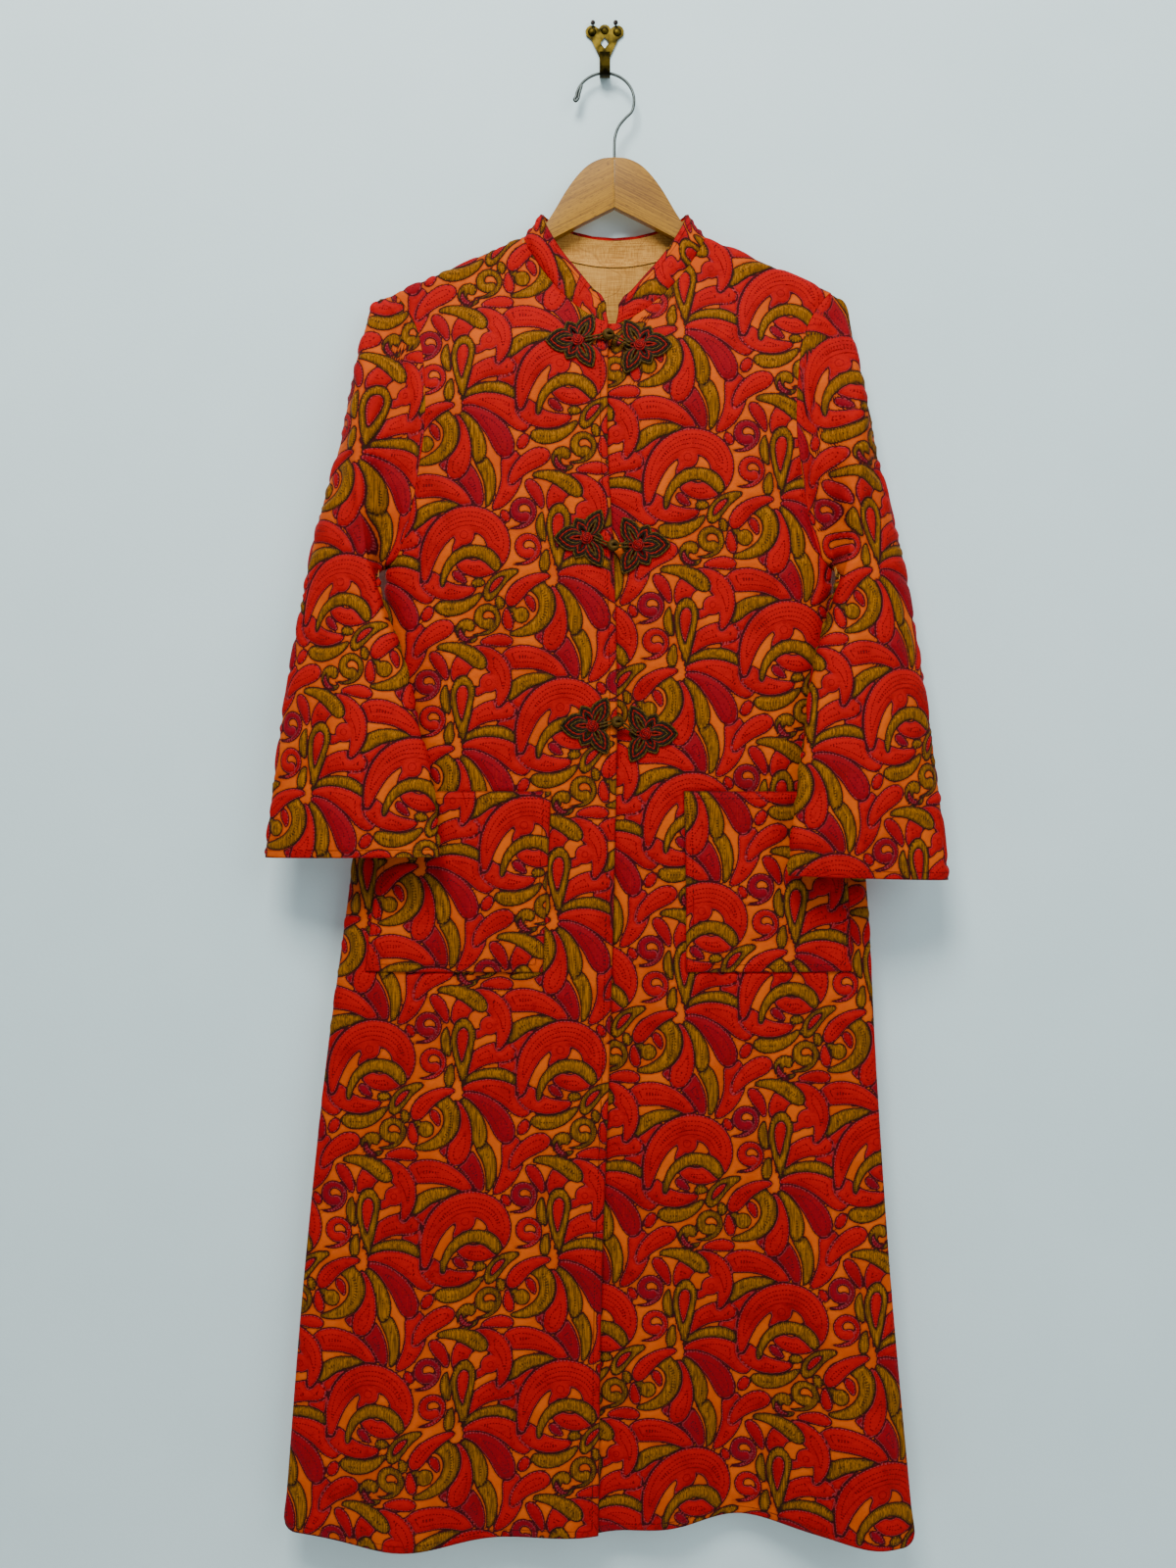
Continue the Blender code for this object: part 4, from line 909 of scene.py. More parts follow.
def cloth_piece(node, outer, inner, normals, fields, finishes, closed=False):
    """A wall with a fine printed outside, a coarser plain inside and rims between them."""
    name = node + "_cloth"
    rows, columns = outer.shape[:2]
    row_marks = kept_marks(rows, INNER_STRIDE)
    column_marks = list(range(0, columns, INNER_STRIDE)) if closed else kept_marks(columns, INNER_STRIDE)
    inner = inner[np.ix_(row_marks, column_marks)]
    outer_ids = np.arange(rows * columns).reshape(rows, columns)
    inner_ids = outer_ids.size + np.arange(inner.shape[0] * inner.shape[1]).reshape(inner.shape[:2])
    across = outer[1, 1] - outer[1, 0]
    flip = np.dot(np.cross(across, outer[2, 0] - outer[1, 0]), normals[1, 0]) < 0
    outside = grid_quads(outer_ids, closed)
    inside = grid_quads(inner_ids, closed)
    faces = (outside[:, ::-1] if flip else outside).tolist()
    faces += (inside if flip else inside[:, ::-1]).tolist()
    if closed:
        turn = column_marks + [columns]
        edge_rows = [(np.append(outer_ids[row], outer_ids[row, 0]), np.append(line, line[0]))
                     for row, line in ((0, inner_ids[0]), (-1, inner_ids[-1]))]
    else:
        turn = column_marks
        edge_rows = [(outer_ids[0], inner_ids[0]), (outer_ids[-1], inner_ids[-1])]
        faces += rim_faces(outer_ids[:, 0], inner_ids[:, 0], row_marks, flip)
        faces += rim_faces(outer_ids[:, -1], inner_ids[:, -1], row_marks, not flip)
    faces += rim_faces(*edge_rows[0], turn, not flip)
    faces += rim_faces(*edge_rows[1], turn, flip)
    points = np.concatenate((outer.reshape(-1, 3), inner.reshape(-1, 3))) * MM
    mesh = bpy.data.meshes.new(name)
    mesh.from_pydata(points.tolist(), [], faces)
    for finish in finishes:
        mesh.materials.append(finish)
    lining = np.zeros(len(faces), np.int32)
    lining[len(outside):len(outside) + len(inside)] = len(finishes) - 1
    mesh.polygons.foreach_set("material_index", lining)
    for key, values in fields.items():
        carried = mesh.attributes.new(key, "FLOAT", "POINT")
        inside_values = values[np.ix_(row_marks, column_marks)]
        both = np.concatenate((np.ravel(values), np.ravel(inside_values)))
        carried.data.foreach_set("value", both.astype(np.float32))
    mesh.shade_smooth()
    mesh.set_sharp_from_angle(angle=math.radians(SHARP_CLOTH))
    piece = bpy.data.objects.new(name, mesh)
    bpy.context.scene.collection.objects.link(piece)
    dress(piece, node)
    return piece


def cut_area(points, closed=False):
    """Area of a grid in square metres."""
    if closed:
        points = np.concatenate((points, points[:, :1]), axis=1)
    first = np.cross(points[:-1, 1:] - points[:-1, :-1], points[1:, :-1] - points[:-1, :-1])
    second = np.cross(points[1:, :-1] - points[1:, 1:], points[:-1, 1:] - points[1:, 1:])
    return float((np.linalg.norm(first, axis=-1) + np.linalg.norm(second, axis=-1)).sum() / 2) * MM * MM


print("the inside keeps one point in", INNER_STRIDE, "each way")

# %% [markdown]
# ## Finishes of the cloth
#
# The print shader turns the carried distances into colour: the signs choose between orange, olive and the
# two reds, and the distance to the nearest edge draws a dark outline, a comb of short ticks inside it, a
# dotted pale stitch and darker stitches farther in. The place along each stroke spaces ticks and stitches.
# Slubs are long thin flecks that run up and down the cloth, and puckers are the small crinkles that the
# sewing leaves. Painted shade darkens the stitched valleys along every edge, the hollows of the puckers
# and a narrow strip along the sewn edges.

# %% Printed cotton
STITCH_LENGTH = 2.9
TICK_LENGTH = 1.75
ECHO_STEP = 4.4
HEM_STITCH = 7.5
SLUB_GRAIN = (900.0, 900.0, 45.0)
PUCKER_GRAIN = (170.0, 170.0, 330.0)
WEAVE_GRAIN = (1.0, 1.0, 0.55)
SCARLET_DYE = colour(158, 0, 2)
CRIMSON_DYE = colour(118, 0, 17)
RED_CLOUD = colour(110, 0, 2)
RED_SLUB = colour(164, 6, 6)
RED_LINE_AND_SHADE = colour(56, 0, 8)
OLIVE_DARK = colour(88, 52, 0)
OLIVE_LIGHT = colour(146, 90, 0)
OLIVE_LINE_AND_SHADE = colour(34, 16, 2)
ORANGE_LIGHT = colour(188, 78, 0)
ORANGE_DARK = colour(170, 62, 0)
PALE_THREAD = colour(206, 92, 104)
# Dark thread of the hem stitches, also the colour of the painted shade along the sewn edges
HEM_THREAD_AND_EDGE_SHADE = colour(44, 2, 8)


def paint_print():
    """Printed cotton with outlines, ticks, stitches and painted shade in valleys, puckers and at sewn edges.
    """
    finish = Finish("printed_quilt")
    jag = finish.noise(finish.place(), 480.0, 2.0) - 0.5
    olive_side = finish.carried("olive_side") + jag * 1.3
    red_side = finish.carried("red_side") + jag * 1.3
    edge = finish.least(abs(olive_side), abs(red_side))
    red = finish.step(red_side, -0.2, 0.2)
    olive = finish.step(olive_side, -0.2, 0.2) * (1.0 - red)
    shape = finish.step(red + olive, 0.4, 0.6)
    run = finish.carried("run")
    tone = finish.step(finish.carried("tone"), 0.4, 0.8)
    slub = finish.noise(finish.place(SLUB_GRAIN), 1.0, 2.0)
    cloud = finish.noise(finish.place(), 26.0, 3.0)
    pucker_and_shade = finish.noise(finish.place(PUCKER_GRAIN), 1.0, 3.0)
    reds = finish.mix(tone, SCARLET_DYE, CRIMSON_DYE)
    reds = finish.mix(finish.step(cloud, 0.45, 0.75) * 0.5, reds, RED_CLOUD)
    olives = finish.mix(finish.step(slub, 0.35, 0.7), OLIVE_DARK, OLIVE_LIGHT)
    ground = finish.mix(finish.step(cloud, 0.35, 0.7), ORANGE_LIGHT, ORANGE_DARK)
    paint = finish.mix(red, finish.mix(olive, ground, olives), reds)
    paint = finish.mix(finish.step(slub, 0.52, 0.72) * red * 0.3, paint, RED_SLUB)
    # The colour of the print's dark lines, which below is also the painted shade
    dark = finish.mix(olive, RED_LINE_AND_SHADE, OLIVE_LINE_AND_SHADE)
    # Painted shade in the hollows of the puckers, which the bump also sinks
    paint = finish.mix(finish.step(pucker_and_shade, 0.5, 0.75) * 0.3 * shape, paint, dark)
    # Painted shade: the stitched valleys along every edge of the print are darkened
    paint = finish.mix((1.0 - finish.step(edge, 0.2, 2.6)) * 0.4, paint, dark)
    tick = finish.step(finish.sum("SINE", run * (2 * math.pi / TICK_LENGTH)), 0.0, 0.6)
    comb = tick * (1.0 - finish.step(edge, 1.2, 2.6)) * (olive * 0.85 + red * 0.6)
    outline = 1.0 - finish.step(edge, 0.3, 0.75)
    paint = finish.mix(finish.sum("MAXIMUM", outline, comb), paint, dark)
    dash = finish.step(finish.sum("SINE", run * (2 * math.pi / STITCH_LENGTH)), -0.2, 0.2)
    pale = dash * (1.0 - finish.step(abs(edge - 0.9), 0.2, 0.5)) * red
    paint = finish.mix(pale * 0.2, paint, PALE_THREAD)
    between = abs(finish.sum("FRACT", edge / ECHO_STEP) - 0.5) * ECHO_STEP
    echo = dash * (1.0 - finish.step(between, 0.25, 0.6)) * shape * finish.step(edge, 3.0, 3.4)
    paint = finish.mix(echo * 0.75, paint, dark)
    hem = finish.carried("edge_run")
    seam = dash * (1.0 - finish.step(abs(hem - HEM_STITCH), 0.35, 0.7))
    # Painted shade: a narrow dark strip along the sewn edges, such as hems, cuffs and pocket edges
    edge_shade = 1.0 - finish.step(hem, 0.3, 2.2)
    paint = finish.mix(finish.sum("MAXIMUM", seam * 0.8, edge_shade * 0.55), paint, HEM_THREAD_AND_EDGE_SHADE)
    sewn = finish.sum("MAXIMUM", outline, finish.sum("MAXIMUM", echo, seam))
    weave = finish.noise(finish.place(WEAVE_GRAIN), 1500.0, 1.0)
    height = (1.0 - sewn) * 0.7 + slub * 0.3 + weave * 0.3 - pucker_and_shade * 0.9
    finish.surface(Base_Color=paint, Roughness=0.82, Normal=finish.bump(height, 0.0008, 0.7))
    finish.surface(Specular_IOR_Level=0.12)
    return finish.material


def paint_muslin():
    """Unbleached cotton with a visible weave and faint quilting from the other side."""
    finish = Finish("muslin_backing")
    place = finish.place()
    cloud = finish.noise(place, 18.0, 3.0)
    warp = finish.noise(finish.place((1400.0, 1400.0, 60.0)), 1.0, 1.0)
    weft = finish.noise(finish.place((60.0, 60.0, 1400.0)), 1.0, 1.0)
    threads = finish.step(warp + weft, 0.8, 1.2)
    bend = finish.noise(place, 14.0, 1.0)
    line = 1.0 - finish.step(abs(finish.sum("FRACT", bend * 5.0) - 0.5), 0.0, 0.035)
    paint = finish.mix(threads, colour(152, 102, 40), colour(188, 136, 62))
    paint = finish.mix(finish.step(cloud, 0.4, 0.7) * 0.4, paint, colour(202, 152, 76))
    paint = finish.mix(line * 0.3, paint, colour(120, 76, 36))
    height = threads * 0.4 - line
    return finish.surface(Base_Color=paint, Roughness=0.9, Normal=finish.bump(height, 0.0005, 0.6),
                          Specular_IOR_Level=0.2)


PRINT = paint_print()
MUSLIN = paint_muslin()
print("finishes", PRINT.name, MUSLIN.name)

# %% [markdown]
# ## Fronts and back
#
# Each panel is its grid of points, pushed out along the normals by the quilting and pushed in by a wall's
# thickness on the other side. The quilting dies away at seams, under the fasteners and under the pockets.
# Creases are set one by one: soft troughs and ridges, unevenly placed, on the back as well as on the front.

# %% Panels with quilting
# Columns: right flower x z, left flower x z, knot x z
FROGS = (
    (-28, -319, 35, -324, 3, -314),
    (-19, -523, 33, -530, 8, -531),
    (-13, -715, 41, -723, 12, -711),
)
FROG_PRESS = 0.35
FROG_FLAT = (34.0, 14.0)
SEAM_FADE = 7.0
POCKET_PRESS = 0.2
SEWN_AWAY = 60.0
ROW_MARGIN = 0.01
# Where each piece was cut from the print, x and z
PRINT_SHIFTS = {
    "front_right": (0.0, 0.0),
    "front_left": (66.0, 97.0),
    "back": (118.0, 60.0),
    "sleeve_right": (30.0, 80.0),
    "sleeve_left": (-40.0, 25.0),
    "collar": (51.0, 20.0),
    "pocket_right": (37.0, 121.0),
    "pocket_left": (150.0, 33.0),
}
# Columns: x, z, half-length, half-width, tilt in degrees, push out
CREASES = {
    "front_right": (
        (-172, -420, 90, 10, 76, -1.6), (-120, -640, 150, 16, 84, -1.3), (-60, -1010, 120, 13, 96, 1.0),
        (-205, -1130, 170, 18, 82, -1.5), (-110, -1300, 190, 20, 93, -1.6), (-160, -1270, 160, 14, 86, 1.2),
    ),
    "front_left": (
        (176, -430, 95, 10, 104, -1.6), (128, -610, 140, 15, 97, -1.2), (84, -1040, 130, 14, 85, 1.0),
        (190, -1100, 150, 18, 98, -1.4), (140, -1330, 180, 20, 88, -1.5), (232, -1290, 170, 15, 95, 1.3),
    ),
    "back": (
        (-120, -520, 130, 14, 80, -1.4), (110, -600, 150, 16, 97, -1.5), (20, -420, 90, 12, 92, -1.0),
        (-170, -960, 170, 18, 84, -1.4), (60, -1080, 190, 17, 92, -1.3), (190, -1220, 180, 18, 97, -1.5),
        (-60, -1330, 170, 19, 88, 1.2),
    ),
}


def edge_distances(points, closed=False):
    """Distances along the cloth from the first and last row and the first and last column."""
    down = np.linalg.norm(np.diff(points, axis=0), axis=2)
    from_top = np.concatenate((np.zeros((1, points.shape[1])), np.cumsum(down, axis=0)))
    found = [from_top, from_top[-1:] - from_top]
    if not closed:
        along = np.linalg.norm(np.diff(points, axis=1), axis=2)
        from_near = np.concatenate((np.zeros((points.shape[0], 1)), np.cumsum(along, axis=1)), axis=1)
        found += [from_near, from_near[:, -1:] - from_near]
    return found


def crease_push(name, across, up):
    """Soft troughs and ridges of one panel."""
    push = np.zeros_like(across)
    for x, z, half_length, half_width, tilt, amount in CREASES.get(name, ()):
        cosine = math.cos(math.radians(tilt))
        sine = math.sin(math.radians(tilt))
        along = ((across - x) * cosine + (up - z) * sine) / half_length
        aside = ((up - z) * cosine - (across - x) * sine) / half_width
        push = push + amount * np.exp(-along ** 2 * 1.5 - aside ** 2)
    return push


def press_under_frogs(points):
    """1 away from the fasteners and less under them."""
    keep = np.ones(points.shape[:2])
    clear, blend = FROG_FLAT
    for row in FROGS:
        for x, z in (row[0:2], row[2:4], row[4:6]):
            distance = np.hypot(points[..., 0] - x, points[..., 2] - z)
            keep = np.minimum(keep, FROG_PRESS + (1.0 - FROG_PRESS) * ease((distance - clear) / blend))
    return keep


def squared_normals(points, facing, seam_columns):
    """Outward normals of a panel, squared up along the shoulder and side seams."""
    normals = grid_normals(points, np.array((0.0, facing, 0.0)))
    for column in seam_columns:
        normals[len(YOKE_ROWS) - 1:, column, 1] = 0.0
    on_shoulder = points[0, :, 2] > shoulder_height(points[0, :, 0]) - SEAM_GAP
    normals[0, on_shoulder, 1] = 0.0
    return unit(normals)


def print_on(name, across, up):
    """What the print holds at places on one piece."""
    shift_x, shift_z = PRINT_SHIFTS[name]
    return read_print(across + shift_x, up + shift_z)


def two_walls(points, normals, push):
    """The outer and the inner points of a wall whose outside is pushed out and in."""
    outer = points + normals * push[..., None]
    inner = points - normals * CLOTH_THICK + normals * np.minimum(push, 0.0)[..., None]
    return outer, inner


def panel(name, points, normals, press, sewn_edges):
    """One panel: its grids, what its points carry, and the piece made from them."""
    fields = print_on(name, points[..., 0], points[..., 2])
    distances = edge_distances(points)
    edge = np.minimum.reduce(distances)
    keep = ease(edge / SEAM_FADE) * press
    creases = crease_push(name, points[..., 0], points[..., 2]) * ease(edge / (4 * SEAM_FADE))
    push = puff(fields) * keep + creases
    away = np.full(keep.shape, SEWN_AWAY)
    fields["edge_run"] = np.minimum.reduce([distances[index] for index in sewn_edges] + [away])
    outer, inner = two_walls(points, normals, push)
    piece = cloth_piece(name, outer, inner, normals, fields, (PRINT, MUSLIN))
    return {"points": points, "normals": normals, "outer": outer, "inner": inner, "fields": fields,
            "piece": piece}


def skirt_row(drop):
    """The number of the panels' row at a drop."""
    return len(YOKE_ROWS) - 1 + int(np.sum(SKIRT_HEIGHTS >= -drop - ROW_MARGIN))


POCKET_ROWS = (skirt_row(POCKET_TOP), skirt_row(POCKET_BOTTOM))


def make_front(side_sign, name, pocket):
    """One front, pressed flatter under its fasteners and its pocket."""
    points = front_points(side_sign)
    normals = squared_normals(points, -1.0, (-1,))
    press = press_under_frogs(points)
    press[POCKET_ROWS[0]:POCKET_ROWS[1] + 1,
          pocket[0] * FRONT_FINENESS:pocket[1] * FRONT_FINENESS + 1] *= POCKET_PRESS
    return panel(name, points, normals, press, (1, 2))


def make_back():
    """The back."""
    points = back_points()
    normals = squared_normals(points, 1.0, (0, -1))
    return panel("back", points, normals, np.ones(points.shape[:2]), (1,))


right = make_front(-1, "front_right", RIGHT_POCKET)
left = make_front(1, "front_left", LEFT_POCKET)
back = make_back()
for made in (right, left, back):
    print(made["piece"].name, "faces", len(made["piece"].data.polygons))

# %% [markdown]
# ## Sleeves
#
# A sleeve is a tube lofted from the armhole to the cuff. Its first ring is the armhole itself, read off the
# panels, so the seam fits. A straight tube could be bent into place instead, but then its head would have
# to be cut to fit. The print is unrolled to both sides of the outer edge, and its two ends meet under the
# arm, where a sewer would put the seam.

# %% Sleeves
# Columns: share of the length, outer edge x y z, inner edge x y z, front bow x y, rear bow x y
RIGHT_SLEEVE = np.array((
    (0.06, -243, -24, -270, -241, -40, -556, 22, -16, 22, 18),
    (0.13, -252, -27, -300, -239, -52, -566, 0, -26, 6, 20),
    (0.27, -276, -30, -412, -227, -63, -592, -4, -25, 0, 20),
    (0.42, -303, -36, -518, -208, -73, -640, 0, -24, 0, 17),
    (0.62, -324, -44, -640, -190, -79, -712, 0, -23, 0, 15),
    (0.82, -338, -54, -745, -174, -85, -785, 0, -22, 0, 13),
    (1.00, -349, -62, -850, -167, -88, -848, 0, -20, 0, 12),
), float)
LEFT_SLEEVE = np.array((
    (0.06, 252, -24, -272, 245, -40, -556, -22, -16, -22, 18),
    (0.13, 260, -27, -310, 243, -52, -566, 0, -26, -6, 20),
    (0.27, 284, -30, -425, 231, -63, -592, 4, -25, 0, 20),
    (0.42, 309, -36, -535, 214, -73, -645, 0, -24, 0, 17),
    (0.62, 328, -44, -655, 203, -79, -715, 0, -23, 0, 15),
    (0.82, 342, -54, -770, 192, -85, -795, 0, -22, 0, 13),
    (1.00, 352, -62, -873, 184, -88, -867, 0, -20, 0, 12),
), float)
BOW_ROUNDNESS = 0.6
HALF_RING = 108
SLEEVE_ROWS = refine((0.0, 0.03, 0.06, 0.095, 0.13, 1.0), 0.0046)
SLEEVE_TURN = 8.0
REAR_CREASES = 0.6
CREASE_FADE = 40.0
CREASES["sleeve_right"] = (
    (-268, -470, 110, 10, 100, -1.7), (-236, -600, 90, 12, 112, -1.4), (-270, -720, 120, 14, 96, 1.1),
    (-300, -640, 130, 11, 104, -1.2), (-226, -760, 80, 12, 86, -1.2),
)
CREASES["sleeve_left"] = (
    (276, -480, 110, 10, 80, -1.7), (246, -610, 95, 12, 68, -1.4), (282, -735, 120, 14, 84, 1.1),
    (306, -660, 130, 11, 77, -1.2), (240, -780, 85, 12, 95, -1.2),
)


def edge_leave(edge, normals, closed, towards):
    """Steps across an edge and away from its panel, lengthened at corners so that the gap stays even."""
    steps = np.roll(edge, -1, axis=0) - edge
    sides = unit(np.cross(unit(normals + np.roll(normals, -1, axis=0)), unit(steps)) * towards)
    before = np.roll(sides, 1, axis=0)
    if not closed:
        before[0] = sides[0]
        sides[-1] = before[-1]
    return (before + sides) / np.maximum(1.0 + np.sum(before * sides, axis=1, keepdims=True), 0.5)


def armhole_ring(front, front_column, back_column):
    """Armhole as a ring: down the front edge, then up the back edge."""
    last = len(YOKE_ROWS)
    marks = np.linspace(0.0, 1.0, len(YOKE_MARKS))
    share = np.interp(np.linspace(0.0, 1.0, HALF_RING + 1), marks, YOKE_MARKS)
    ring = {}
    for key in ("outer", "inner", "normals"):
        down, up = [np.column_stack([np.interp(share, YOKE_ROWS, line[:, axis]) for axis in range(3)])
                    for line in (front[key][:last, front_column], back[key][:last, back_column])]
        top = (down[0] + up[0]) / 2
        bottom = (down[-1] + up[-1]) / 2
        ring[key] = np.concatenate(([top], down[1:-1], [bottom], up[1:-1][::-1]))
    return ring


def sleeve_ring(row):
    """Points of one sleeve ring: outer edge, front half, inner edge, rear half."""
    part = np.linspace(0.0, 1.0, HALF_RING + 1)
    bow = ((4 * part * (1 - part)) ** BOW_ROUNDNESS)[:, None]
    straight = row[1:4] + (row[4:7] - row[1:4]) * part[:, None]
    front = straight + bow * np.array((row[7], row[8], 0.0))
    rear = straight + bow * np.array((row[9], row[10], 0.0))
    return np.concatenate((front, rear[::-1][1:-1]))


def unrolled(points, side_sign):
    """Cloth coordinates of a sleeve, laid flat to both sides of its outer edge."""
    count = points.shape[1]
    across = np.zeros(points.shape[:2])
    for order, way in ((np.arange(HALF_RING + 1), 1.0),
                       (np.concatenate(((0,), np.arange(count - 1, HALF_RING, -1))), -1.0)):
        half = points[:, order]
        steps = np.diff(half, axis=1)
        extra = np.linalg.norm(steps, axis=2) - np.linalg.norm(steps[..., (0, 2)], axis=2)
        extra = np.concatenate((np.zeros((len(points), 1)), np.cumsum(extra, axis=1)), axis=1)
        edge_x = np.interp(-half[..., 2], -points[:, 0, 2], points[:, 0, 0])
        across[:, order] = edge_x + way * (half[..., 0] - edge_x - side_sign * extra)
    turn = math.radians(SLEEVE_TURN) * side_sign
    up = points[..., 2]
    return across * math.cos(turn) + up * math.sin(turn), up * math.cos(turn) - across * math.sin(turn)


def make_sleeve(name, table, ring, side_sign):
    """A sleeve from the armhole ring through the rings of its table."""
    leave = edge_leave(ring["outer"], ring["normals"], True, side_sign) * SEAM_GAP
    keys = np.concatenate(((0.0,), table[:, 0]))
    rings = np.concatenate(([ring["outer"] + leave], [sleeve_ring(row) for row in table]))
    points = smooth_value(keys, rings, SLEEVE_ROWS)
    normals = grid_normals(points, points - points.mean(axis=1, keepdims=True), closed=True)
    fields = print_on(name, *unrolled(points, side_sign))
    from_head, from_cuff = edge_distances(points, closed=True)
    keep = ease(np.minimum(from_head / (2 * SEAM_FADE), from_cuff / SEAM_FADE))
    front_half = np.arange(points.shape[1]) <= HALF_RING
    creases = crease_push(name, points[..., 0], points[..., 2]) * np.where(front_half, 1.0, REAR_CREASES)
    push = puff(fields) * keep + creases * ease(from_head / CREASE_FADE)
    fields["edge_run"] = np.minimum(from_cuff, SEWN_AWAY)
    outer, inner = two_walls(points, normals, push)
    inner[0] = ring["inner"] + leave
    piece = cloth_piece(name, outer, inner, normals, fields, (PRINT, MUSLIN), closed=True)
    return {"points": points, "piece": piece}


sleeve_right = make_sleeve("sleeve_right", RIGHT_SLEEVE, armhole_ring(right, -1, 0), -1)
sleeve_left = make_sleeve("sleeve_left", LEFT_SLEEVE, armhole_ring(left, -1, -1), 1)
for made in (sleeve_right, sleeve_left):
    print(made["piece"].name, "faces", len(made["piece"].data.polygons))

# %% [markdown]
# ## Collar and pockets
#
# The collar stands on the edge of the neck, leans in a little and has rounded front ends. It could be a
# band of its own, bent round, but then it might not meet the neck, so it is drawn up from the neck's edge.
# Its inside is a separate plain facing. A patch pocket is a small panel of its own, laid on the front with
# its own piece of print, as pockets are cut from what is left over.

# %% Collar and facing
COLLAR_HEIGHT = 31.0
COLLAR_END_ROUND = 9.0
COLLAR_END_OPEN = 0.7
COLLAR_END_SPAN = 60.0
COLLAR_SMOOTH = 15.0
COLLAR_LEAN = 0.45
COLLAR_ROWS = 20
COLLAR_SWELL = 3.0
SWELL_LOW = 0.8
FACING_THICK = 1.0
FACING_ROWS = slice(0, -2)


def neck_ring():
    """Edge of the neck from the right front's end round the back to the left front's end."""
    first = BACK_SHOULDER_COLUMNS * BACK_FINENESS
    last = first + BACK_NECK_COLUMNS * BACK_FINENESS
    left_span = slice(LEFT_START_COLUMN * FRONT_FINENESS, LEFT_NECK_COLUMN * FRONT_FINENESS + 1)
    ring = {}
    for key in ("outer", "inner", "normals"):
        right_edge = right[key][0, :RIGHT_NECK_COLUMN * FRONT_FINENESS + 1]
        back_edge = back[key][0, first:last + 1]
        left_edge = left[key][0, left_span][::-1]
        right_side = (right_edge[-1] + back_edge[0]) / 2
        left_side = (left_edge[0] + back_edge[-1]) / 2
        ring[key] = np.concatenate((right_edge[:-1], [right_side], back_edge[1:-1],
                                    [left_side], left_edge[1:]))
    return ring


def neck_marks():
    """Points of the neck ring that the solids have too; directions are taken there and blended between."""
    fronts = RIGHT_NECK_COLUMN * FRONT_FINENESS
    behind = fronts + BACK_NECK_COLUMNS * BACK_FINENESS
    left_steps = LEFT_NECK_COLUMN - LEFT_START_COLUMN
    return np.concatenate((np.arange(RIGHT_NECK_COLUMN) * FRONT_FINENESS,
                           fronts + np.arange(BACK_NECK_COLUMNS) * BACK_FINENESS,
                           behind + np.arange(left_steps + 1) * FRONT_FINENESS))


def collar_heights(base):
    """Height of the collar along the neck, lower and rounded at its ends."""
    run = running_length(base)
    end = np.minimum(run, run[-1] - run)
    short = np.maximum(COLLAR_END_ROUND - end, 0.0)
    return COLLAR_HEIGHT - COLLAR_END_ROUND + np.sqrt(COLLAR_END_ROUND ** 2 - short ** 2), run


def smoothed(lines, run):
    """Points along the neck averaged with their neighbours, the ends kept."""
    weight = np.exp(-((run[:, None] - run[None]) / COLLAR_SMOOTH) ** 2) * np.gradient(run)[None]
    room = np.minimum(run, run[-1] - run) / COLLAR_SMOOTH
    share = ease(room / 2.0)[:, None]
    return lines + share * (weight @ lines / weight.sum(axis=1, keepdims=True) - lines)


def collar_grid(base, normals, step, height, run):
    """Points of the collar, row by row up from the neck's edge, and its normals."""
    from_ends = ease(np.minimum(run, run[-1] - run) / COLLAR_END_SPAN)
    open_ends = COLLAR_END_OPEN * (1.0 - from_ends)
    outwards = np.where(run < run[-1] / 2, -1.0, 1.0)
    leave = unit(unit(step) + open_ends[:, None] * outwards[:, None] * np.array((1.0, 0.0, 0.0)))
    rise = unit(leave * (1.0 - COLLAR_LEAN) + np.array((0.0, 0.0, COLLAR_LEAN)))
    levels = np.linspace(0.0, 1.0, COLLAR_ROWS + 1)
    start = base + step * SEAM_GAP
    points = []
    for level in levels:
        line = start + (leave * (1 - level) + rise * level) * (height * level)[:, None]
        points.append(line + level ** 0.5 * (smoothed(line, run) - line))
    points = np.array(points)
    wall_normals = grid_normals(points, normals[None])
    swell = COLLAR_SWELL * np.sin(np.pi * levels ** SWELL_LOW)[:, None] * from_ends
    return points + wall_normals * swell[..., None], wall_normals, levels


def make_collar():
    """The stand collar and its plain facing."""
    ring = neck_ring()
    base = ring["outer"]
    normals = unit(ring["normals"])
    marks = neck_marks()
    coarse = edge_leave(base[marks], normals[marks], False, -1.0)
    every = np.arange(len(base))
    step = np.column_stack([np.interp(every, marks, coarse[:, axis]) for axis in range(3)])
    height, run = collar_heights(base)
    points, wall_normals, levels = collar_grid(base, normals, step, height, run)
    fields = print_on("collar", np.broadcast_to(run, points.shape[:2]), levels[:, None] * height[None])
    distances = edge_distances(points)
    push = puff(fields) * ease(np.minimum.reduce(distances) / SEAM_FADE)
    fields["edge_run"] = np.minimum.reduce([distances[1], distances[2], distances[3]])
    outer = points + wall_normals * push[..., None]
    inner = points - wall_normals * CLOTH_THICK
    inner[0] = ring["inner"] + step * SEAM_GAP
    collar = cloth_piece("collar", outer, inner, wall_normals, fields, (PRINT,))
    near = (inner - wall_normals * SEAM_GAP)[FACING_ROWS]
    far = near - wall_normals[FACING_ROWS] * FACING_THICK
    inwards = -wall_normals[FACING_ROWS]
    facing = cloth_piece("collar_facing", far, near, inwards, {}, (MUSLIN,))
    return {"points": points, "piece": collar, "facing": facing, "facing_points": far}


collar = make_collar()
print(collar["piece"].name, "faces", len(collar["piece"].data.polygons))

# %% Pockets
POCKET_LIFT = 0.7
POCKET_THICK = 2.3


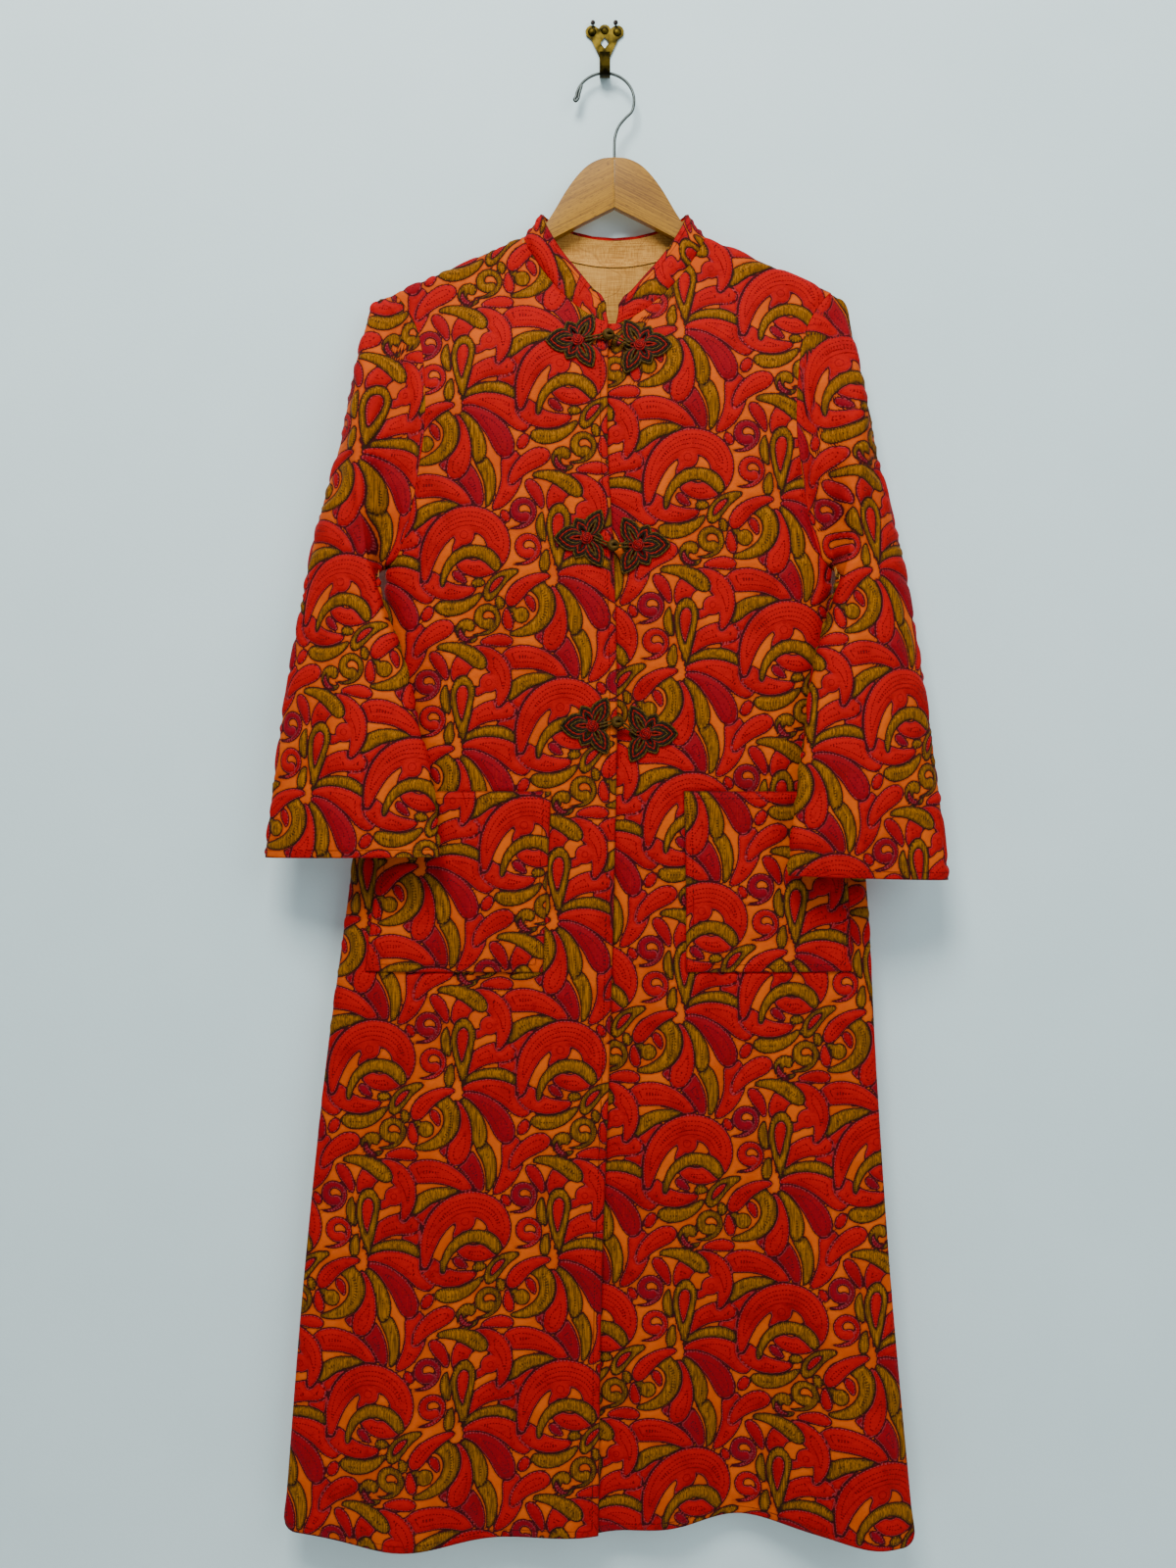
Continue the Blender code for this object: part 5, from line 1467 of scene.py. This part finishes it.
def make_pocket(name, front, columns):
    """A patch pocket on a front, with its own piece of print."""
    rows = slice(POCKET_ROWS[0], POCKET_ROWS[1] + 1)
    span = slice(columns[0] * FRONT_FINENESS, columns[1] * FRONT_FINENESS + 1)
    points = front["points"][rows, span]
    normals = front["normals"][rows, span]
    fields = print_on(name, points[..., 0], points[..., 2])
    edge = np.minimum.reduce(edge_distances(points))
    push = puff(fields) * ease(edge / SEAM_FADE)
    fields["edge_run"] = np.minimum(edge, SEWN_AWAY)
    inner = points + normals * POCKET_LIFT
    outer = inner + normals * (POCKET_THICK + push)[..., None]
    piece = cloth_piece(name, outer, inner, normals, fields, (PRINT, MUSLIN))
    return {"points": points, "piece": piece}


pocket_right = make_pocket("pocket_right", right, RIGHT_POCKET)
pocket_left = make_pocket("pocket_left", left, LEFT_POCKET)
for made in (pocket_right, pocket_left):
    print(made["piece"].name, "faces", len(made["piece"].data.polygons))

# %% [markdown]
# ## Flat cuts
#
# A garment is cut flat before it is sewn, so every cloth piece states its flat size. It could be read off a
# drawn pattern; here there is none, so it is measured along the grid that the piece was made from, before
# the quilting was pushed out.

# %% Flat cuts
# Columns: piece, its grid, how its rows run, the solids that it hangs from
CUTS = (
    (right["piece"], right["points"], "level", ["hanger_arm_right"]),
    (left["piece"], left["points"], "level", ["hanger_arm_left"]),
    (back["piece"], back["points"], "level", ["hanger_arm_right", "hanger_arm_left"]),
    (sleeve_right["piece"], sleeve_right["points"], "rings", ["front_right", "back"]),
    (sleeve_left["piece"], sleeve_left["points"], "rings", ["front_left", "back"]),
    (collar["piece"], collar["points"], "sloping", ["front_right", "front_left", "back"]),
    (collar["facing"], collar["facing_points"], "sloping", ["collar"]),
    (pocket_right["piece"], pocket_right["points"], "level", ["front_right"]),
    (pocket_left["piece"], pocket_left["points"], "level", ["front_left"]),
)


def declare_cut(piece, points, rows, hangs_on):
    """States the flat size of a cloth piece, measured along its grid before it was quilted.

    What lifts a level row, such as a round corner, doesn't count in the width. Only a sleeve's last
    ring lies square to its length, so its width is taken there, at the cuff."""
    closed = rows == "rings"
    ring = np.concatenate((points, points[:, :1]), axis=1) if closed else points
    steps = np.diff(ring, axis=1)
    if rows == "level":
        steps = steps[..., :2]
    across = np.linalg.norm(steps, axis=2).sum(axis=1)
    width = (across[-1] if closed else across.max()) * MM
    length = np.linalg.norm(np.diff(points, axis=0), axis=2).sum(axis=0).max() * MM
    area = cut_area(points, closed)
    print(piece.name, "cut", round(width, 3), "by", round(length, 3), "m, area", round(area, 3))


for cut in CUTS:
    declare_cut(*cut)

# %% [markdown]
# ## Fasteners
#
# A frog is cord, coiled into petals and sewn down. Each petal is three to seven loops, one inside another,
# with the ends hidden under a wound button. A modelled flower would be one lump, so every loop is drawn as a
# path on the front and swept with a round section. The slant of the cord's strands is only bump along it,
# with painted shade between the strands in its colour.

# %% Cord finishes
CORD_TWIST = 1.3


def paint_cord(name, light, dark):
    """Covered cord with slanting strands as bump, and painted shade between them, mixed with wear."""
    finish = Finish(name)
    along = finish.node("ShaderNodeUVMap", {"uv_map": "cord"}, {})
    parts = finish.node("ShaderNodeSeparateXYZ", {}, {"Vector": along})
    across = Wire(finish, parts.socket.node.outputs[1])
    twist_and_shade = finish.sum("SINE", (parts * CORD_TWIST + across) * (2 * math.pi)) * 0.5 + 0.5
    worn = finish.noise(finish.place(), 240.0, 3.0)
    # Painted shade: the cord's darker copy of its colour between the slanting strands, mixed with wear
    paint = finish.mix(twist_and_shade * 0.6 + worn * 0.4, dark, light)
    return finish.surface(Base_Color=paint, Roughness=0.7, Normal=finish.bump(twist_and_shade, 0.0005, 0.7),
                          Specular_IOR_Level=0.15)


# Each cord has a lighter and a darker copy of its colour; the darker one is painted shade between its
# strands
CORDS = (paint_cord("cord_olive", colour(84, 58, 2), colour(34, 22, 0)),
         paint_cord("cord_rust", colour(140, 14, 2), colour(66, 4, 0)),
         paint_cord("cord_red", colour(146, 0, 4), colour(70, 0, 2)),
         paint_cord("cord_shade", colour(26, 16, 1), colour(10, 6, 0)))
print("cords", [finish.name for finish in CORDS])

# %% Swept cords
CORD_SIDES = 8


def transported(tangents, closed):
    """Sides of a path that turn as little as they can along it."""
    start = np.cross(tangents[0], (0.0, 1.0, 0.0))
    if np.linalg.norm(start) < 0.2:
        start = np.cross(tangents[0], (1.0, 0.0, 0.0))
    sides = [unit(start)]
    for tangent in tangents[1:]:
        sides.append(unit(sides[-1] - tangent * np.dot(sides[-1], tangent)))
    sides = np.array(sides)
    if closed:
        last = unit(sides[-1] - tangents[0] * np.dot(sides[-1], tangents[0]))
        gap = math.atan2(np.dot(np.cross(last, sides[0]), tangents[0]), np.dot(last, sides[0]))
        turn = (np.arange(len(sides)) / len(sides) * gap)[:, None]
        sides = sides * np.cos(turn) + np.cross(tangents, sides) * np.sin(turn)
    return sides


def sweep(path, radius, closed):
    """Points, faces and cord coordinates of a round cord along a path."""
    path = np.asarray(path, float)
    if closed:
        tangents = unit(np.roll(path, -1, axis=0) - np.roll(path, 1, axis=0))
    else:
        tangents = unit(np.gradient(path, axis=0))
    aside = transported(tangents, closed)
    above = np.cross(tangents, aside)
    sides = CORD_SIDES
    turns = np.arange(sides) * 2 * math.pi / sides
    rings = path[:, None] + radius * (np.cos(turns)[None, :, None] * aside[:, None]
                                      + np.sin(turns)[None, :, None] * above[:, None])
    count = len(path)
    lengths = running_length(path)
    lengths = np.append(lengths, lengths[-1] + np.linalg.norm(path[0] - path[-1])) / (2 * math.pi * radius)
    faces = []
    places = []
    for index in range(count if closed else count - 1):
        following = (index + 1) % count
        here = lengths[index]
        there = lengths[index + 1]
        for side in range(sides):
            next_side = (side + 1) % sides
            faces.append((index * sides + side, index * sides + next_side,
                          following * sides + next_side, following * sides + side))
            low = side / sides
            high = (side + 1) / sides
            places += [(here, low), (here, high), (there, high), (there, low)]
    if not closed:
        faces += [tuple(range(sides))[::-1], tuple(range((count - 1) * sides, count * sides))]
        places += [(0.0, 0.0)] * (2 * sides)
    return rings.reshape(-1, 3), faces, places


def cord_piece(name, node, cords):
    """One object from several cords, each a path, a radius, whether it is closed and a finish number."""
    points, faces, places, kinds = [], [], [], []
    for path, radius, closed, kind in cords:
        found, quads, marks = sweep(path, radius, closed)
        start = sum(len(part) for part in points)
        points.append(found)
        faces += [tuple(corner + start for corner in quad) for quad in quads]
        places += marks
        kinds += [kind] * len(quads)
    mesh = bpy.data.meshes.new(name)
    mesh.from_pydata((np.concatenate(points) * MM).tolist(), [], faces)
    for finish in CORDS:
        mesh.materials.append(finish)
    mesh.polygons.foreach_set("material_index", np.array(kinds, np.int32))
    mesh.uv_layers.new(name="cord").data.foreach_set("uv", np.array(places, np.float32).ravel())
    mesh.shade_smooth()
    piece = bpy.data.objects.new(name, mesh)
    bpy.context.scene.collection.objects.link(piece)
    dress(piece, node)
    return piece


print("cord sections have", CORD_SIDES, "sides")

# %% Flowers
# Columns: turn from the outward side in degrees, reach, half-width
PETALS = ((0, 33, 11.5), (60, 23, 6.8), (-60, 23, 6.8), (117, 32, 8.2), (-117, 32, 8.2), (180, 16, 4.6))
CORD_RADIUS = 1.05
CORD_LIFT = 1.1
LOOP_STEP = 1.75
LOOP_POINTS = 17
LOOP_LEAST = 0.3
LOOP_RISE = 0.25
PETAL_ROOT = 4.5
PETAL_ROUND = 0.85
ROOT_HALF = 1.4
TIP_INSET = 1.5
HALF_LEAST = 0.5
LOOP_FINISHES = (0, 3, 1, 3, 0, 3, 1, 0)
BUTTON_RADIUS = 6.2
BUTTON_RISE = 3.4
BUTTON_TURNS = 3.2
BUTTON_POINTS = 80
BUTTON_START = 0.02
BUTTON_LIFT = 0.6
BUTTON_CORD = 1.15
BUTTON_FINISH = 2


def petal_loop(reach, half_width, inset):
    """One loop of a petal in its own plane: out along one side to the tip and back along the other."""
    share = np.linspace(0.0, 1.0, LOOP_POINTS)
    along = PETAL_ROOT + (reach - inset * TIP_INSET - PETAL_ROOT) * share
    bulge = np.sin(np.pi * share ** PETAL_ROUND) ** PETAL_ROUND
    aside = max(half_width - inset, HALF_LEAST) * bulge + ROOT_HALF * (1.0 - share)
    aside[-1] = 0.0
    there = np.column_stack((along, aside))
    back = np.column_stack((along, -aside))[::-1][1:]
    return np.concatenate((there, back))


def on_front(flat, x, z, outward, side_sign, lift):
    """Lays a flat path on a front, so far above it."""
    across = x + outward * flat[:, 0]
    up = z + flat[:, 1]
    return np.column_stack((across, front_depth(side_sign, across, up) - lift, up))


def turned(flat, degrees):
    """A flat path turned about the place it starts from."""
    cosine = math.cos(math.radians(degrees))
    sine = math.sin(math.radians(degrees))
    along, aside = flat[:, 0], flat[:, 1]
    return np.column_stack((along * cosine - aside * sine, along * sine + aside * cosine))


def flower_cords(x, z, outward, side_sign):
    """All cords of one flower."""
    cords = []
    for turn, reach, half_width in PETALS:
        number = 0
        inset = 0.0
        while half_width - inset > LOOP_LEAST:
            flat = turned(petal_loop(reach, half_width, inset), turn)
            lift = CORD_LIFT + CORD_RADIUS + LOOP_RISE * number
            laid = on_front(flat, x, z, outward, side_sign, lift)
            cords.append((laid, CORD_RADIUS, False, LOOP_FINISHES[number]))
            number += 1
            inset += LOOP_STEP
    share = np.linspace(BUTTON_START, 1.0, BUTTON_POINTS)
    turn = share * BUTTON_TURNS * 2 * math.pi
    flat = np.column_stack((np.cos(turn), np.sin(turn))) * (BUTTON_RADIUS * share)[:, None]
    button = on_front(flat, x, z, outward, side_sign, CORD_LIFT + CORD_RADIUS)
    button[:, 1] -= BUTTON_LIFT + BUTTON_RISE * (1.0 - share ** 2)
    cords.append((button, BUTTON_CORD, False, BUTTON_FINISH))
    return cords


for number, (right_x, right_z, left_x, left_z, knot_x, knot_z) in enumerate(FROGS, 1):
    cord_piece(f"flower_right_{number}", f"frog_right_{number}", flower_cords(right_x, right_z, -1, -1))
    cord_piece(f"flower_left_{number}", f"frog_left_{number}", flower_cords(left_x, left_z, 1, 1))
print("flowers", 2 * len(FROGS))

# %% Knots and the loops that hold them
KNOT_HALF = (6.5, 5.2, 6.2)
KNOT_GAP = 0.4
KNOT_CORD = 1.9
KNOT_RINGS = 5
KNOT_POINTS = 28
RING_START = 0.3
RING_TIPS = (0.95, 0.55)
TAIL_POINTS = 12
TAIL_LIFT = 5.0
# Columns: side of the front, start from the knot's middle x y z, end on the flower along and aside
KNOT_TAILS = (
    (1, (3.0, 1.6, 2.0), (-9.0, 1.6)),
    (-1, (-3.0, 2.0, 1.6), (-7.0, 1.5)),
)


def knot_cords(x, z, flowers):
    """A ball knot of tilted rings, with two cords to each flower; flowers holds their places by side."""
    edge = min(x, float(body("lap_edge", z)) - 1.0)
    ground = float(front_depth(-1, np.array(edge), np.array(float(z))))
    centre = np.array((x, ground - KNOT_GAP - KNOT_HALF[1], z))
    half = np.array(KNOT_HALF) - KNOT_CORD
    turn = np.linspace(0.0, 2 * math.pi, KNOT_POINTS, endpoint=False)
    cords = []
    for ring in range(KNOT_RINGS):
        lean = math.pi * ring / KNOT_RINGS + RING_START
        tip = RING_TIPS[ring % 2]
        first = np.array((math.cos(lean), 0.0, math.sin(lean)))
        second = np.array((-math.sin(lean) * math.cos(tip), -math.sin(tip), math.cos(lean) * math.cos(tip)))
        circle = np.cos(turn)[:, None] * first + np.sin(turn)[:, None] * second
        cords.append((centre + circle * half, KNOT_CORD, True, 0))
    share = np.linspace(0.0, 1.0, TAIL_POINTS)[:, None]
    for side in (-1.0, 1.0):
        for hand, (start_x, start_y, start_z), (along, aside) in KNOT_TAILS:
            start = centre + np.array((start_x, start_y, start_z * side))
            end = on_front(np.array(((along, aside * side),)), *flowers[hand], hand, hand, TAIL_LIFT)[0]
            cords.append((start + (end - start) * share, CORD_RADIUS, False, 0))
    return cords


for number, (right_x, right_z, left_x, left_z, knot_x, knot_z) in enumerate(FROGS, 1):
    flowers = {1: (left_x, left_z), -1: (right_x, right_z)}
    cord_piece(f"knot_{number}", f"frog_knot_{number}", knot_cords(knot_x, knot_z, flowers))
print("knots", len(FROGS))

# %% [markdown]
# ## Hanger
#
# The hanger is two flat beech arms glued under the hook. An arm could be a swept curve, but its height
# changes along it. So a block is drawn out station by station along the arm, as a maker would saw it, and
# its long edges are rounded over with a bevel.

# %% Hanger arms
HANGER_X = 10.0
HANGER_Y = -22.8
# Columns: distance from the middle, drop of the top edge, drop of the lower edge
CROWN = np.array((
    (0, 117, 169), (14, 118.5, 176), (30, 127, 184), (50, 151, 194.5), (64, 174.5, 202),
    (78, 195, 211), (92, 208.5, 219), (104, 209, 224), (160, 220, 250), (200, 230, 268),
), float)
HANGER_STATIONS = tuple(range(4, 108, 4)) + (112, 124, 140, 160, 180, 196, 204, 209)
HANGER_END = ((196, 0.0), (204, 3.0), (209, 7.5))
HANGER_REST = 0.5
HANGER_HALF = 5.0
HANGER_ROUND = 2.6
ROUND_STEPS = 4
GRAIN_SLOPE = 27.0
SHARP_WOOD = 60.0
SMOOTH_WOOD = 40.0
SAME_PLACE = 1e-7


def paint_beech(side_sign):
    """Pale beech with grain along the arm and short dark flecks."""
    finish = Finish("beech_right" if side_sign < 0 else "beech_left")
    turn = (0.0, math.radians(-GRAIN_SLOPE * side_sign), 0.0)
    wave = finish.noise(finish.place((6.0, 40.0, 60.0), turn), 1.0, 2.0)
    rings = finish.noise(finish.place((14.0, 500.0, 700.0), turn), 1.0, 3.0)
    fleck = finish.noise(finish.place((160.0, 900.0, 1500.0), turn), 1.0, 1.0)
    paint = finish.mix(finish.step(rings + wave * 0.4, 0.5, 0.85), colour(110, 70, 0), colour(152, 106, 6))
    paint = finish.mix(finish.step(fleck, 0.58, 0.68) * 0.7, paint, colour(70, 38, 0))
    return finish.surface(Base_Color=paint, Roughness=0.5, Specular_IOR_Level=0.25,
                          Normal=finish.bump(rings, 0.0002, 0.4))


def hanger_edges(across, x):
    """Top and lower edge of an arm at a distance from its middle."""
    top, bottom = -smooth_value(CROWN[:, 0], CROWN[:, 1:], across)
    if abs(x - NECK_CENTRE) > NECK_HALF:
        wall_drop = CLOTH_THICK * math.hypot(1.0, SHOULDER_SLOPE)
        rest = float(shoulder_height(np.array(x))) - wall_drop - HANGER_REST
        top = min(top, rest)
    trim = float(np.interp(across, *zip(*HANGER_END)))
    return top - trim, bottom + trim


def make_arm(side_sign, name, node):
    """One arm, drawn out from a block and rounded over."""
    bpy.ops.object.select_all(action="DESELECT")
    bpy.ops.mesh.primitive_cube_add(size=1.0)
    arm = bpy.context.object
    arm.name = name
    start_x = HANGER_X + side_sign * SEAM_GAP / 2
    stations = [(0.0, start_x)]
    stations += [(float(across), HANGER_X + side_sign * across) for across in HANGER_STATIONS]
    sections = [(x, *hanger_edges(across, x)) for across, x in stations]
    near, far = sections[0], sections[1]
    for corner in arm.data.vertices:
        x, top, bottom = near if corner.co.x * side_sign < 0 else far
        height = top if corner.co.z > 0 else bottom
        depth = HANGER_Y + HANGER_HALF * (1 if corner.co.y > 0 else -1)
        corner.co = (x * MM, depth * MM, height * MM)
    bpy.ops.object.mode_set(mode="EDIT")
    bpy.ops.mesh.select_mode(type="FACE")
    bpy.ops.mesh.select_all(action="DESELECT")
    bpy.ops.object.mode_set(mode="OBJECT")
    for face in arm.data.polygons:
        places = [arm.data.vertices[corner].co.x for corner in face.vertices]
        face.select = all(abs(place - far[0] * MM) < SAME_PLACE for place in places)
    bpy.ops.object.mode_set(mode="EDIT")
    for before, after in zip(sections[1:-1], sections[2:]):
        rise = (after[1] + after[2] - before[1] - before[2]) / 2
        bpy.ops.mesh.extrude_region_move(
            TRANSFORM_OT_translate={"value": ((after[0] - before[0]) * MM, 0.0, rise * MM)})
        bpy.ops.transform.resize(value=(1.0, 1.0, (after[1] - after[2]) / (before[1] - before[2])))
    bpy.ops.mesh.select_all(action="SELECT")
    bpy.ops.mesh.normals_make_consistent(inside=False)
    bpy.ops.mesh.select_mode(type="EDGE")
    bpy.ops.mesh.select_all(action="DESELECT")
    bpy.ops.mesh.edges_select_sharp(sharpness=math.radians(SHARP_WOOD))
    bpy.ops.mesh.bevel(offset=HANGER_ROUND * MM, segments=ROUND_STEPS, profile=0.5, affect="EDGES",
                       clamp_overlap=True)
    bpy.ops.object.mode_set(mode="OBJECT")
    bpy.ops.object.shade_smooth_by_angle(angle=math.radians(SMOOTH_WOOD))
    arm.data.materials.append(paint_beech(side_sign))
    dress(arm, node)
    return arm


for side_sign, side_name in ((-1, "right"), (1, "left")):
    arm = make_arm(side_sign, "beech_arm_" + side_name, "hanger_arm_" + side_name)
    print(arm.name, "faces", len(arm.data.polygons))

# %% [markdown]
# ## Metal
#
# The hanger's hook is drawn steel wire. It could be swept like the cords; a curve with a round section,
# turned into a mesh, does the same with less. The wall hook and the nails keep their solids and get the
# look of dull brass and dark iron.

# %% Wire hook
WIRE_RADIUS = 1.5
HOOK_RADIUS = 31.0
HOOK_CENTRE_Z = -52.2
HOOK_TOP_Y = -12.0
HOOK_POINTS = 180
HOOK_STEM = ((10.0, -116.3), (10.0, -104.0), (10.8, -92.0), (14.6, -81.0), (21.3, -72.0))
HOOK_TURN = (-22.0, 172.0)
HOOK_BOW_POINTS = 20
WIRE_ROUNDNESS = 4
SMOOTH_METAL = 50.0
HOOK_TIP = ((-32.4, -50.6), (-31.0, -52.6), (-28.8, -50.8), (-27.0, -44.0), (-24.5, -35.0))


def hook_path():
    """The wire: stem, swan neck, a round bow over the wall hook and a tip that is folded back."""
    turns = np.radians(np.linspace(*HOOK_TURN, HOOK_BOW_POINTS))
    bow = np.column_stack((HOOK_RADIUS * np.cos(turns), HOOK_CENTRE_Z + HOOK_RADIUS * np.sin(turns)))
    flat = np.concatenate((HOOK_STEM, bow, HOOK_TIP))
    length = running_length(flat)
    fine = smooth_value(length, flat, np.linspace(0.0, length[-1], HOOK_POINTS))
    top = HOOK_CENTRE_Z + HOOK_RADIUS
    lean = (fine[:, 1] - top) / (HOOK_STEM[0][1] - top)
    return np.column_stack((fine[:, 0], HOOK_TOP_Y + (HANGER_Y - HOOK_TOP_Y) * lean, fine[:, 1]))


def make_wire():
    """The wire as a mesh with a round section."""
    curve = bpy.data.curves.new("hook_wire", "CURVE")
    curve.dimensions = "3D"
    curve.bevel_depth = WIRE_RADIUS * MM
    curve.bevel_resolution = WIRE_ROUNDNESS
    curve.use_fill_caps = True
    line = curve.splines.new("POLY")
    line.points.add(HOOK_POINTS - 1)
    for mark, place in zip(line.points, hook_path()):
        mark.co = (*(place * MM), 1.0)
    wire = bpy.data.objects.new("hook_wire", curve)
    bpy.context.scene.collection.objects.link(wire)
    bpy.ops.object.select_all(action="DESELECT")
    wire.select_set(True)
    bpy.context.view_layer.objects.active = wire
    bpy.ops.object.convert(target="MESH")
    wire = bpy.context.object
    bpy.ops.object.shade_smooth_by_angle(angle=math.radians(SMOOTH_METAL))
    finish = Finish("drawn_steel")
    drawn = finish.noise(finish.place(), 300.0, 2.0)
    paint = finish.mix(drawn, colour(44, 50, 48), colour(84, 90, 88))
    wire.data.materials.clear()
    wire.data.materials.append(finish.surface(Base_Color=paint, Metallic=1.0, Roughness=0.38))
    dress(wire, "hanger_hook")
    return wire


wire = make_wire()
print(wire.name, "faces", len(wire.data.polygons))

# %% Brass and iron


def paint_metal(name, light, dark, roughness):
    """Dull metal, darker where it is worn or dirty."""
    finish = Finish(name)
    dirt = finish.noise(finish.place(), 90.0, 4.0)
    return finish.surface(Base_Color=finish.mix(finish.step(dirt, 0.35, 0.65), dark, light), Metallic=1.0,
                          Roughness=finish.step(dirt, 0.2, 0.9) * -0.15 + roughness)


BRASS = paint_metal("aged_brass", colour(70, 58, 16), colour(20, 17, 5), 0.5)
IRON = paint_metal("dark_iron", colour(34, 30, 28), colour(14, 12, 12), 0.5)
for node, finish in (("wall_hook", BRASS), ("wall_nail_1", IRON), ("wall_nail_2", IRON)):
    kept = bpy.data.objects[node]
    for place in kept.material_slots:
        place.material = finish
print("kept solids wall_hook, wall_nail_1, wall_nail_2")

# %% [markdown]
# ## Studs
#
# Three low studs stand on the wall hook's plate. The solids leave out this small detail, so it is made
# here. A lathed dome would do as well; a ball pressed flat and cut off level with the plate is quicker.

# %% Studs of the wall hook
# Columns: x, z, radius
STUDS = ((-13.5, 27.6, 4.6), (0.0, 29.0, 4.2), (13.5, 27.6, 4.6))
STUD_HEIGHT = 2.2
STUD_SIDES = 24
STUD_RINGS = 12
SMOOTH_STUD = 40.0
PLATE_FACE = -2.05


def make_stud(number, x, z, radius):
    """A low dome on the plate: a ball pressed flat, cut off level with the plate's face."""
    bpy.ops.object.select_all(action="DESELECT")
    bpy.ops.mesh.primitive_uv_sphere_add(segments=STUD_SIDES, ring_count=STUD_RINGS,
                                         location=(x * MM, PLATE_FACE * MM, z * MM),
                                         scale=(radius * MM, STUD_HEIGHT * MM, radius * MM))
    stud = bpy.context.object
    stud.name = f"hook_stud_{number}"
    bpy.ops.object.transform_apply(location=True, rotation=True, scale=True)
    bpy.ops.object.mode_set(mode="EDIT")
    bpy.ops.mesh.select_all(action="SELECT")
    bpy.ops.mesh.bisect(plane_co=(0.0, PLATE_FACE * MM, 0.0), plane_no=(0.0, 1.0, 0.0),
                        use_fill=True, clear_outer=True)
    bpy.ops.object.mode_set(mode="OBJECT")
    bpy.ops.object.shade_smooth_by_angle(angle=math.radians(SMOOTH_STUD))
    stud.data.materials.append(BRASS)
    dress(stud)
    return stud


for number, (x, z, radius) in enumerate(STUDS, 1):
    stud = make_stud(number, x, z, radius)
    print(stud.name, "faces", len(stud.data.polygons))
